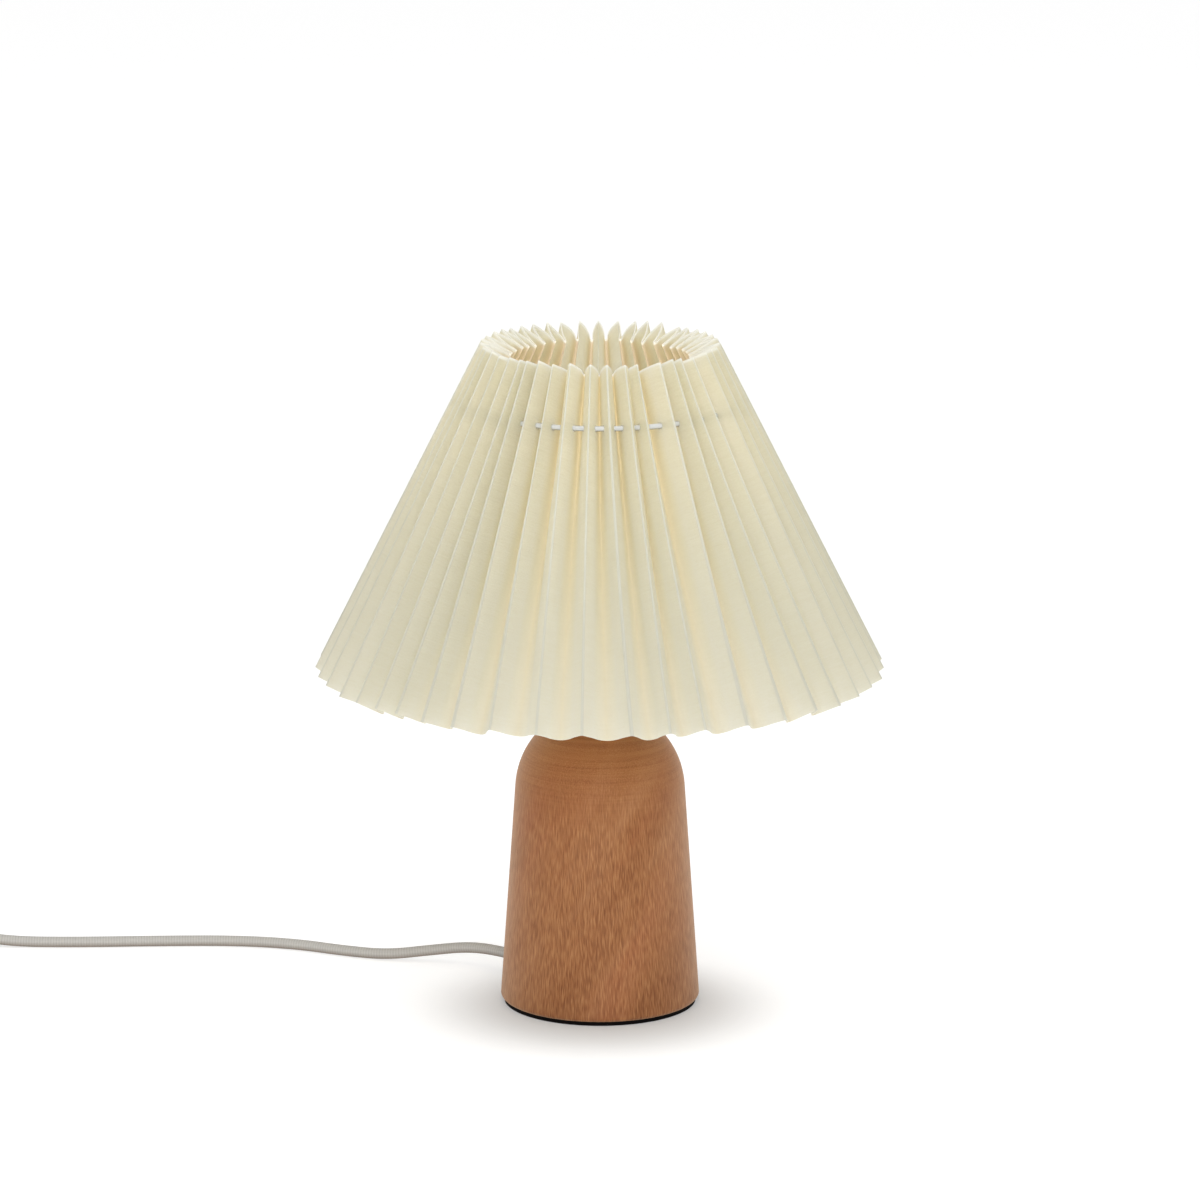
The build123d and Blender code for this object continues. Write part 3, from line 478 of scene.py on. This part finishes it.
def braided_cloth():
    """Fine diagonal braid in light grey, from the cord's unwrapped map, with painted shade on its underside.
    """
    made, tree, shader = new_material("braided_cord")
    where = place(tree, "UV")
    parts = add_node(tree, "ShaderNodeSeparateXYZ", {"Vector": where})
    around = maths(tree, "MULTIPLY", parts.outputs[0], BRAID_STRANDS * 2 * math.pi)
    along = maths(tree, "MULTIPLY", parts.outputs[1], 2 * math.pi / BRAID_PITCH)
    one_way = maths(tree, "SINE", maths(tree, "ADD", around, along))
    other_way = maths(tree, "SINE", maths(tree, "SUBTRACT", around, along))
    crossing = maths(tree, "MULTIPLY", one_way, other_way)
    strands = maths(tree, "ADD", maths(tree, "MULTIPLY", crossing, 0.5), 0.5)
    lint = speckle(tree, place(tree, "UV", (40, 900, 1)), 3.0, 3.0)
    tint = ramp(tree, strands, (0.1, colour(158, 154, 147)), (0.6, colour(184, 181, 175)))
    tint = mix_colours(tree, maths(tree, "MULTIPLY", lint, 0.4), tint, colour(200, 198, 194))
    # Painted shade: the cord's downward faces are darker.
    tint = painted_shade_below(tree, tint, colour(112, 97, 82), 0.2, -0.8, 0.8)
    relief = bump(tree, maths(tree, "ADD", strands, maths(tree, "MULTIPLY", lint, 0.3)), 0.0003, 0.6)
    wire(tree, shader, Base_Color=tint, Roughness=0.8, Normal=relief, Specular_IOR_Level=0.3)
    return made


def woven_strap():
    made, tree, shader = new_material("woven_strap")
    checks = add_node(tree, "ShaderNodeTexChecker", {"Vector": place(tree), "Scale": 1400.0}).outputs[1]
    lint = speckle(tree, place(tree), 1500.0, 2.0)
    tint = mix_colours(tree, maths(tree, "MULTIPLY", lint, 0.5), colour(84, 84, 84), colour(128, 128, 126))
    relief = bump(tree, maths(tree, "ADD", checks, lint), 0.0002, 0.6)
    wire(tree, shader, Base_Color=tint, Roughness=0.85, Normal=relief)
    return made


def all_materials():
    """One material for each slot of the record, and one for the cloth's inside."""
    # Painted shade for the white wire's underside.
    wire_painted_shade = colour(112, 104, 84)
    return {
        "wood": turned_wood(),
        "pad": moulded_plastic("dark_rubber", colour(9, 6, 5), 0.85, 0.0002, 0.1),
        "steel": plain_metal("zinc_steel", colour(196, 196, 194), 0.35),
        "brass": plain_metal("plain_brass", colour(214, 176, 102), 0.3),
        "holder_white": moulded_plastic("holder_plastic", colour(223, 221, 214), 0.42),
        "core_ceramic": moulded_plastic("holder_ceramic", colour(232, 229, 221), 0.55, 0.0001),
        # The fold tints are painted: a warm glow deep in the outer valleys, a darker tone on the inner folds.
        "shade_fabric": fabric_of_shade("shade_cloth", 0.42, 0.75, colour(250, 240, 190)),
        "shade_inside": fabric_of_shade("shade_cloth_inside", 0.6, 0.8, colour(226, 214, 198)),
        "wire_white": moulded_plastic("white_paint", colour(206, 208, 208), 0.3, underside=wire_painted_shade),
        "bulb_glass": clear_glass(),
        "bulb_cap": plain_metal("bulb_aluminium", colour(206, 206, 208), 0.28),
        "bulb_insulator": moulded_plastic("black_vitrite", colour(26, 26, 30), 0.25),
        "filament": moulded_plastic("filament_coat", colour(238, 190, 92), 0.6),
        "cord_fabric": braided_cloth(),
        "wire_brown": moulded_plastic("brown_sleeve", colour(104, 62, 34), 0.5),
        "wire_blue": moulded_plastic("blue_sleeve", colour(52, 92, 168), 0.5),
        "switch_white": moulded_plastic("switch_plastic", colour(217, 217, 212), 0.3),
        "plug_white": moulded_plastic("plug_plastic", colour(215, 215, 210), 0.4),
        "pin_nickel": plain_metal("nickel_pin", colour(204, 202, 196), 0.22),
        "tie_grey": woven_strap(),
    }


# Turned pieces

def turned_piece(name, outlines, pitch=1.0, depth=0.0, spot=polar):
    """Closed turned bodies in one mesh. Each outline point has a radius, a height and a thread share."""
    made = bmesh.new()
    for outline in outlines:
        rings = []
        for radius, height, share in outline:
            ring = []
            for side in range(TURNED_SIDES):
                turn = side / TURNED_SIDES
                wave = (1 - math.cos(2 * math.pi * (height / pitch - turn))) / 2
                ring.append(made.verts.new(spot(radius + share * depth * wave, 360 * turn, height)))
            rings.append(ring)
        for ring, after in zip(rings, rings[1:] + rings[:1]):
            for side in range(TURNED_SIDES):
                following = (side + 1) % TURNED_SIDES
                made.faces.new((ring[side], ring[following], after[following], after[side]))
    bmesh.ops.recalc_face_normals(made, faces=made.faces)
    piece = object_from(name, made)
    smooth_with_creases(piece.data, TURNED_CREASE)
    return piece


def threaded_wall(radius, start, end, pitch, share):
    """Outline points of a threaded wall; the thread fades in and out over its first and last turn."""
    count = round(abs(end - start) / pitch * THREAD_STEPS_PER_TURN)
    points = []
    for number in range(count + 1):
        height = mixed(start, end, number / count)
        fade = min(1.0, abs(height - start) / pitch, abs(height - end) / pitch)
        points.append((radius, height, share * fade))
    return points


def make_holder_shell(materials):
    """The lampholder's shell with its flange and threaded skirt."""
    edge = EDGE_ROUNDING
    plain = [
        (SPIGOT_BORE, SPIGOT_BOTTOM), (SPIGOT_RADIUS, SPIGOT_BOTTOM), (SPIGOT_RADIUS, FLANGE_BOTTOM),
        (FLANGE_RADIUS - edge, FLANGE_BOTTOM), (FLANGE_RADIUS, FLANGE_BOTTOM + edge),
        (FLANGE_RADIUS, FLANGE_TOP - edge), (FLANGE_RADIUS - edge, FLANGE_TOP), (SKIRT_RADIUS, FLANGE_TOP),
    ]
    rim = [
        (SKIRT_RADIUS - edge, SKIRT_TOP), (SKIRT_BORE + edge, SKIRT_TOP), (SKIRT_BORE, SKIRT_TOP - edge),
        (SKIRT_BORE, FLANGE_TOP), (SPIGOT_BORE, FLANGE_TOP),
    ]
    skirt = threaded_wall(SKIRT_RADIUS, FLANGE_TOP + edge, SKIRT_TOP - edge, SKIRT_PITCH, -1.0)
    outline = [(*point, 0.0) for point in plain] + skirt + [(*point, 0.0) for point in rim]
    shell = turned_piece("holder_threaded_shell", [outline], SKIRT_PITCH, SKIRT_THREAD_DEPTH)
    shell.data.materials.append(materials["holder_white"])
    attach(shell, "base")
    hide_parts("holder_shell")


def make_screw_contact(materials):
    """The brass screw shell in the lampholder."""
    low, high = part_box("screw_contact")
    bore = high.x - CONTACT_WALL
    outer = threaded_wall(high.x, low.z, high.z, BULB_PITCH, 1.0)
    inner = threaded_wall(bore, high.z, low.z, BULB_PITCH, 1.0)
    contact = turned_piece("screw_contact_thread", [outer + inner], BULB_PITCH, BULB_THREAD_DEPTH)
    contact.data.materials.append(materials["brass"])
    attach(contact, "base")
    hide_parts("screw_contact")


def make_bulb_cap(materials):
    """The bulb's thin screw cap, with its toe and a plain rim above the thread."""
    low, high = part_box("bulb_cap")
    radius = high.x
    bore = radius - BULB_THREAD_DEPTH - BULB_CAP_WALL
    toe_top = low.z + BULB_CAP_TOE_HEIGHT
    toe = [(BULB_CAP_TOE_RADIUS - BULB_CAP_WALL, low.z, 0.0), (BULB_CAP_TOE_RADIUS, low.z, 0.0)]
    wall = threaded_wall(radius, toe_top, high.z - BULB_CAP_RIM, BULB_PITCH, -1.0)
    rim = [(radius, high.z, 0.0), (bore, high.z, 0.0), (bore, toe_top, 0.0)]
    cap = turned_piece("bulb_screw_cap", [toe + wall + rim], BULB_PITCH, BULB_THREAD_DEPTH)
    cap.data.materials.append(materials["bulb_cap"])
    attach(cap, "bulb")
    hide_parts("bulb_cap")


def plug_spot(radius, angle, reach):
    """The point at a radius and an angle round the plug's line, at a reach from the end of its nose."""
    turn = math.radians(angle)
    return Vector(PLUG_NOSE_END) + Vector((reach, radius * math.cos(turn), radius * math.sin(turn)))


def make_plug_ribs(materials):
    """Bend ribs round the plug's nose, sunk into it."""
    outlines = []
    for number in range(PLUG_RIBS):
        middle = (number + 1) * PLUG_RIB_SPACING
        radius = mixed(*PLUG_NOSE_RADII, middle / PLUG_NOSE_LENGTH)
        top = radius + PLUG_RIB_HEIGHT
        half = PLUG_RIB_HALF_WIDTH
        outlines.append([
            (radius - half, middle - half, 0.0), (radius, middle - half, 0.0), (top, middle - half / 2, 0.0),
            (top, middle + half / 2, 0.0), (radius, middle + half, 0.0), (radius - half, middle + half, 0.0),
        ])
    ribs = turned_piece("plug_nose_ribs", outlines, spot=plug_spot)
    ribs.data.materials.append(materials["plug_white"])
    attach(ribs, "base")


# Camera

def make_camera():
    data = bpy.data.cameras.new("camera")
    data.sensor_width = CAMERA_SENSOR
    data.lens = CAMERA_LENS
    camera = new_object("camera", data)
    camera.location = CAMERA_PLACE
    camera.rotation_euler = (math.radians(CAMERA_TILT), 0.0, 0.0)
    bpy.context.scene.camera = camera


# Cord

def coil_points():
    """The winding: in along the floor, up a layer in half a turn, and out again on top."""
    turns = 2 * COIL_TURNS_EACH_WAY + COIL_CLIMB_TURNS
    count = round(turns * COIL_POINTS_PER_TURN)
    points = []
    for number in range(count + 1):
        turn = number / COIL_POINTS_PER_TURN
        inward = min(turn, COIL_TURNS_EACH_WAY)
        outward = max(turn - COIL_TURNS_EACH_WAY - COIL_CLIMB_TURNS, 0.0)
        climb = min(max((turn - COIL_TURNS_EACH_WAY) / COIL_CLIMB_TURNS, 0.0), 1.0)
        radius = COIL_RADIUS - COIL_PITCH * (inward - outward) - COIL_CLIMB_DIP * math.sin(math.pi * climb)
        height = COIL_LOW + COIL_PITCH * climb**2 * (3 - 2 * climb)
        angle = math.pi / 2 + 2 * math.pi * turn
        x = COIL_CENTRE[0] + radius * math.cos(angle)
        y = COIL_CENTRE[1] + radius * math.sin(angle)
        points.append((x, y, height))
    return points


def smooth_line(name, route, spacing):
    """Evenly spaced points on the smooth spline that has the route as its control points."""
    curve = bpy.data.curves.new(name, "CURVE")
    curve.dimensions = "3D"
    spline = curve.splines.new("NURBS")
    spline.points.add(len(route) - 1)
    for control, point in zip(spline.points, route):
        control.co = (*point, 1.0)
    spline.order_u = 3
    spline.use_endpoint_u = True
    spline.resolution_u = 16
    guide = new_object(name, curve)
    mesh = evaluated_mesh(guide)
    dense = [vertex.co.copy() for vertex in mesh.vertices]
    bpy.data.objects.remove(guide)
    bpy.data.meshes.remove(mesh)
    reach = [0.0]
    for before, after in zip(dense, dense[1:]):
        reach.append(reach[-1] + (after - before).length)
    count = max(2, round(reach[-1] / spacing))
    points = []
    segment = 0
    for number in range(count + 1):
        target = reach[-1] * number / count
        while segment < len(dense) - 2 and reach[segment + 1] < target:
            segment += 1
        span = reach[segment + 1] - reach[segment]
        share = (target - reach[segment]) / span if span else 0.0
        points.append(mixed(dense[segment], dense[segment + 1], min(share, 1.0)))
    return points


def tube(name, points, radius, sides):
    """A closed round tube along points, with its unwrapped map in turns and metres."""
    made = bmesh.new()
    chart = made.loops.layers.uv.new("map")
    side = (points[1] - points[0]).orthogonal().normalized()
    rings, reaches = [], []
    reach = 0.0
    for number, point in enumerate(points):
        ahead = points[min(number + 1, len(points) - 1)] - points[max(number - 1, 0)]
        ahead.normalize()
        side = (side - ahead * side.dot(ahead)).normalized()
        across = ahead.cross(side)
        if number:
            reach += (point - points[number - 1]).length
        ring = []
        for step in range(sides):
            turn = 2 * math.pi * step / sides
            ring.append(made.verts.new(point + (side * math.cos(turn) + across * math.sin(turn)) * radius))
        rings.append(ring)
        reaches.append(reach)
    for number, (ring, after) in enumerate(zip(rings, rings[1:])):
        for step in range(sides):
            following = (step + 1) % sides
            face = made.faces.new((ring[step], ring[following], after[following], after[step]))
            corners = ((step, number), (step + 1, number), (step + 1, number + 1), (step, number + 1))
            for loop, (column, row) in zip(face.loops, corners):
                loop[chart].uv = (column / sides, reaches[row])
    made.faces.new(list(reversed(rings[0])))
    made.faces.new(rings[-1])
    piece = object_from(name, made)
    smooth_with_creases(piece.data, CORD_CREASE)
    return piece


def make_cords(materials):
    """The cord with its winding, and the cord inside the base."""
    points = smooth_line("cord_guide", CORD_ROUTE + coil_points() + CORD_TAIL, CORD_STEP)
    cord = tube("textile_cord", points, CORD_RADIUS, CORD_SIDES)
    cord.data.materials.append(materials["cord_fabric"])
    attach(cord, "base")
    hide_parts("cord_lead", "cord_coil")
    inner = tube("cord_in_base", smooth_line("inner_guide", INNER_ROUTE, CORD_STEP), CORD_RADIUS, CORD_SIDES)
    inner.data.materials.append(materials["cord_fabric"])
    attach(inner, "base")
    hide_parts("inner_cord")


# Pleated shade

def evenly(first, last, gaps):
    """The pairs of angles that divide the way between two ridges into equal gaps, ends left out."""
    return [
        tuple(mixed(low, high, step / gaps) for low, high in zip(first, last)) for step in range(1, gaps)
    ]


def ridge_angles():
    """Top and bottom angle of every ridge, once round."""
    back_start = (BACK_RIDGES[0],) * 2
    back_end = (BACK_RIDGES[-1],) * 2
    leg = (LEG_RIDGE,) * 2
    first_again = tuple(angle + 360 for angle in FRONT_RIDGES[0])
    ridges = list(FRONT_RIDGES)
    ridges += evenly(FRONT_RIDGES[-1], back_start, RIGHT_SIDE_GAPS)
    ridges += [(angle, angle) for angle in BACK_RIDGES]
    ridges += evenly(back_end, leg, BACK_TO_LEG_GAPS)
    ridges.append(leg)
    ridges += evenly(leg, first_again, LEG_TO_FRONT_GAPS)
    return ridges


def ridge_place(share):
    """Radius and height of the ridges at a share of the way up."""
    return (
        mixed(SHEET_BOTTOM_RADIUS, SHEET_TOP_RADIUS, share),
        mixed(SHEET_BOTTOM_HEIGHT, SHEET_TOP_HEIGHT, share),
    )


def valley_place(share, half_gap):
    """Radius and height of a valley whose panels span half a gap each, at a share of the way up."""
    radius, height = ridge_place(share)
    spread = 1 - math.cos(math.radians(half_gap))
    lean_part = radius * math.cos(SHEET_LEAN) * spread
    depth = lean_part + math.sqrt(lean_part**2 + PANEL_WIDTH**2 - 2 * radius**2 * spread)
    depth *= mixed(DEPTH_SHARE_BOTTOM, 1.0, math.sqrt(max(share, 0.0)))
    return radius - depth * math.cos(SHEET_LEAN), height - depth * math.sin(SHEET_LEAN)


def panel_points(start, end, upward, share, bow, wave_at):
    """The points between two folds of a panel, bowed towards its outer side."""
    across = end - start
    outward = across.cross(upward).normalized()
    if outward.dot(Vector((start.x + end.x, start.y + end.y, 0.0))) < 0:
        outward.negate()
    points = []
    for step in range(1, PANEL_STEPS):
        part = step / PANEL_STEPS
        point = mixed(start, end, part)
        spot = [value * step for value, step in zip((wave_at, share, part), PANEL_WAVE_STEPS)]
        wave = PANEL_WAVE * noise.noise(Vector(spot))
        points.append(point + outward * (4 * part * (1 - part) * bow + wave * math.sin(math.pi * part)))
    return points


def rounded_valley(before, valley, after, corner):
    """Points of a rounded fold, each with its share of the way round. The corner is a share of each panel."""
    start = mixed(valley, before, corner)
    end = mixed(valley, after, corner)
    half_turn = (valley - before).angle(after - valley) / 2
    points = []
    for step in range(VALLEY_STEPS + 1):
        heading = half_turn * (2 * step / VALLEY_STEPS - 1)
        part = (1 + math.tan(heading) / math.tan(half_turn)) / 2
        point = mixed(mixed(start, valley, part), mixed(valley, end, part), part)
        points.append((point, part))
    return points


def own_share_up(share, habit):
    """A ridge's own share of the way up, as its ends are shifted."""
    return share + habit["bottom"] * (1 - share) + habit["top"] * share


def half_ridge(share, habit, radius):
    """Half of a ridge's width in degrees."""
    return math.degrees(mixed(RIDGE_HALF_BOTTOM, RIDGE_HALF_TOP, share) * habit["flat"] / radius)


def shade_row(share, ridges, habits):
    """The sheet's points once round at a share of the way up, each with its place on the flat sheet."""
    count = len(ridges)
    row = []
    for number in range(count):
        ridge, following = ridges[number], ridges[(number + 1) % count]
        turn = 360.0 if number == count - 1 else 0.0
        angle = mixed(ridge[1], ridge[0], share)
        next_angle = mixed(following[1], following[0], share) + turn
        half_gap = (next_angle - angle) / 2
        habit, next_habit = habits[number], habits[(number + 1) % count]
        own_share = own_share_up(share, habit)
        radius, height = ridge_place(own_share)
        next_radius, next_height = ridge_place(own_share_up(share, next_habit))
        valley_radius, valley_height = valley_place(share + habit["valley"], half_gap)
        valley_angle = (angle + next_angle) / 2 + habit["lean"]
        crown = polar(radius + RIDGE_CROWN, angle, height)
        right = polar(radius, angle + half_ridge(share, habit, radius), height)
        left = polar(next_radius, next_angle - half_ridge(share, next_habit, next_radius), next_height)
        corner = mixed(VALLEY_CORNER_BOTTOM, VALLEY_CORNER_TOP, share)
        valley = rounded_valley(right, polar(valley_radius, valley_angle, valley_height), left, corner)
        higher_radius, higher = ridge_place(own_share + UPWARD_STEP)
        upward = polar(higher_radius, angle, higher) - crown
        bow = mixed(PANEL_BOW_BOTTOM, PANEL_BOW_TOP, share)
        start = 2 * number * PANEL_WIDTH
        row.append((crown, start))
        row.append((right, start + RIDGE_HALF_TOP))
        straight = PANEL_WIDTH * (1 - corner)
        before = panel_points(right, valley[0][0], upward, share, bow * habit["bow"], number)
        for step, point in enumerate(before, 1):
            row.append((point, start + straight * step / PANEL_STEPS))
        for point, part in valley:
            row.append((point, start + straight + 2 * PANEL_WIDTH * corner * part))
        after = panel_points(valley[-1][0], left, upward, share, bow * habit["bow_after"], number + 0.5)
        for step, point in enumerate(after, 1):
            row.append((point, start + 2 * PANEL_WIDTH - straight * (1 - step / PANEL_STEPS)))
        row.append((left, start + 2 * PANEL_WIDTH - RIDGE_HALF_TOP))
    return row


def fold_habits(count):
    """How each pleat differs from a perfect one: its ends, lean, ridge width and bows."""
    draw = random.Random(HABIT_SEED)
    return [
        {
            "top": draw.uniform(-1, 1) * FOLD_END_SHIFT,
            "bottom": draw.uniform(-1, 1) * FOLD_END_SHIFT,
            "valley": draw.uniform(-1, 1) * FOLD_END_SHIFT,
            "lean": draw.uniform(-VALLEY_LEAN, VALLEY_LEAN),
            "flat": draw.uniform(*RIDGE_WIDTH_RANGE),
            "bow": draw.uniform(*BOW_RANGE),
            "bow_after": draw.uniform(*BOW_RANGE),
        }
        for _ in range(count)
    ]


def ring_cutter(radius, height, section):
    """A ring that cuts the holes for the wire."""
    made = bmesh.new()
    rings = []
    for number in range(RING_CUTTER_STEPS):
        angle = 360.0 * number / RING_CUTTER_STEPS
        ring = []
        for step in range(RING_CUTTER_SIDES):
            turn = 2 * math.pi * step / RING_CUTTER_SIDES
            spot = polar(radius + section * math.cos(turn), angle, height + section * math.sin(turn))
            ring.append(made.verts.new(spot))
        rings.append(ring)
    for ring, following in zip(rings, rings[1:] + rings[:1]):
        for step in range(RING_CUTTER_SIDES):
            after = (step + 1) % RING_CUTTER_SIDES
            made.faces.new((ring[step], following[step], following[after], ring[after]))
    bmesh.ops.recalc_face_normals(made, faces=made.faces)
    return object_from("ring_cutter", made)


def folded_sheet():
    """The sheet's outer skin with its unwrapped map in metres."""
    ridges = ridge_angles()
    habits = fold_habits(len(ridges))
    made = bmesh.new()
    chart = made.loops.layers.uv.new("map")
    rows = [shade_row(number / SHEET_ROWS, ridges, habits) for number in range(SHEET_ROWS + 1)]
    grid = [[made.verts.new(point) for point, _ in row] for row in rows]
    columns = len(grid[0])
    whole = 2 * PANEL_WIDTH * len(ridges)
    for number in range(SHEET_ROWS):
        lower, upper = grid[number], grid[number + 1]
        low, high = SHEET_LENGTH * number / SHEET_ROWS, SHEET_LENGTH * (number + 1) / SHEET_ROWS
        for column in range(columns):
            following = (column + 1) % columns
            face = made.faces.new((lower[column], lower[following], upper[following], upper[column]))
            corners = (
                (number, column, low), (number, following, low),
                (number + 1, following, high), (number + 1, column, high),
            )
            for loop, (row, place_in_row, reach) in zip(face.loops, corners):
                across = rows[row][place_in_row][1] if place_in_row or not column else whole
                loop[chart].uv = (across, reach)
    return object_from("folded_sheet", made), (whole, SHEET_LENGTH)


def make_shade(materials):
    """The sheet made thick and cut for the wire; faces with more than four corners are split."""
    sheet, flat = folded_sheet()
    for skin in ("shade_fabric", "shade_inside"):
        sheet.data.materials.append(materials[skin])
    ring_low, ring_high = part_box("shade_wire_ring")
    wire_radius = (ring_high.z - ring_low.z) / 2
    cutter = ring_cutter(ring_high.x - wire_radius, ring_low.z + wire_radius, RING_HOLE_RADIUS)
    thick = sheet.modifiers.new("thickness", "SOLIDIFY")
    thick.thickness = SHEET_THICKNESS
    thick.offset = -1.0
    thick.use_even_offset = True
    thick.use_quality_normals = True
    thick.material_offset = 1
    holes = sheet.modifiers.new("holes", "BOOLEAN")
    holes.operation = "DIFFERENCE"
    holes.solver = "EXACT"
    holes.object = cutter
    corners = sheet.modifiers.new("corners", "TRIANGULATE")
    corners.ngon_method = "BEAUTY"
    corners.min_vertices = 5
    shade = new_object("pleated_cloth", evaluated_mesh(sheet))
    bpy.data.objects.remove(sheet)
    bpy.data.objects.remove(cutter)
    smooth_with_creases(shade.data, CLOTH_CREASE)
    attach(shade, "shade")
    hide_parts("pleated_shade")


# Solids of the frame

def dress_nodes(materials):
    """Each solid gets the material of its slot."""
    for row in frame["record"]["subparts"]:
        node = frame["nodes"][row["node"]]
        node.data.materials.clear()
        node.data.materials.append(materials[row["material_slot"]])
        smooth_with_creases(node.data, SOLID_CREASE)


# Floor and light

def make_floor():
    made = bmesh.new()
    bmesh.ops.create_grid(made, x_segments=2, y_segments=2, size=FLOOR_HALF)
    floor = object_from("floor", made)
    material, tree, shader = new_material("pale_floor")
    shifted = {"Vector": place(tree), "Location": (0.0, SHADOW_SHIFT, 0.0), "Scale": (1, 1, 0)}
    flat = add_node(tree, "ShaderNodeMapping", shifted).outputs[0]
    distance = add_node(tree, "ShaderNodeVectorMath", {0: flat}, operation="LENGTH").outputs[1]
    near, far = SHADOW_START * FOOT_RADIUS, SHADOW_END * FOOT_RADIUS
    # Painted shadow: the floor's glow drops towards the lamp's foot.
    lift = map_range(tree, distance, near, far, SHADOW_GLOW, FLOOR_GLOW, interpolation_type="SMOOTHSTEP")
    wire(tree, shader, Base_Color=grey(FLOOR_TONE), Roughness=0.9, Specular_IOR_Level=0.1)
    wire(tree, shader, Emission_Color=grey(1.0), Emission_Strength=lift)
    floor.data.materials.append(material)


def area_light(name, spot, size, power):
    """A round light that faces the lamp."""
    data = bpy.data.lights.new(name, "AREA")
    data.shape = "DISK"
    data.size = size
    data.energy = power
    lamp = new_object(name, data)
    lamp.location = spot
    lamp.rotation_euler = (Vector(LIGHT_TARGET) - Vector(spot)).to_track_quat("-Z", "Y").to_euler()


def make_light():
    scene = bpy.context.scene
    scene.view_settings.view_transform = "Standard"
    world = bpy.data.worlds.new("studio")
    world.use_nodes = True
    tree = world.node_tree
    upward = add_node(tree, "ShaderNodeSeparateXYZ", {"Vector": place(tree, "Generated")}).outputs[2]
    fade = map_range(tree, upward, 0.0, SKY_FADE_END, SKY_LOW, SKY_HIGH)
    wire(tree, tree.nodes["Background"], Strength=fade, Color=grey(1.0))
    scene.world = world
    area_light("overhead", OVERHEAD_PLACE, OVERHEAD_SIZE, OVERHEAD_POWER)
    area_light("front", FRONT_PLACE, FRONT_SIZE, FRONT_POWER)
    inside = bpy.data.lights.new("inside_shade", "POINT")
    inside.energy = INSIDE_POWER
    inside.shadow_soft_size = INSIDE_SIZE
    inside.color = INSIDE_TINT
    glow = new_object("inside_shade", inside)
    glow.location = INSIDE_PLACE
    glow.visible_camera = False


make_camera()
all_finishes = all_materials()
dress_nodes(all_finishes)
make_plug_ribs(all_finishes)
make_cords(all_finishes)
make_shade(all_finishes)
make_holder_shell(all_finishes)
make_screw_contact(all_finishes)
make_bulb_cap(all_finishes)
make_floor()
make_light()
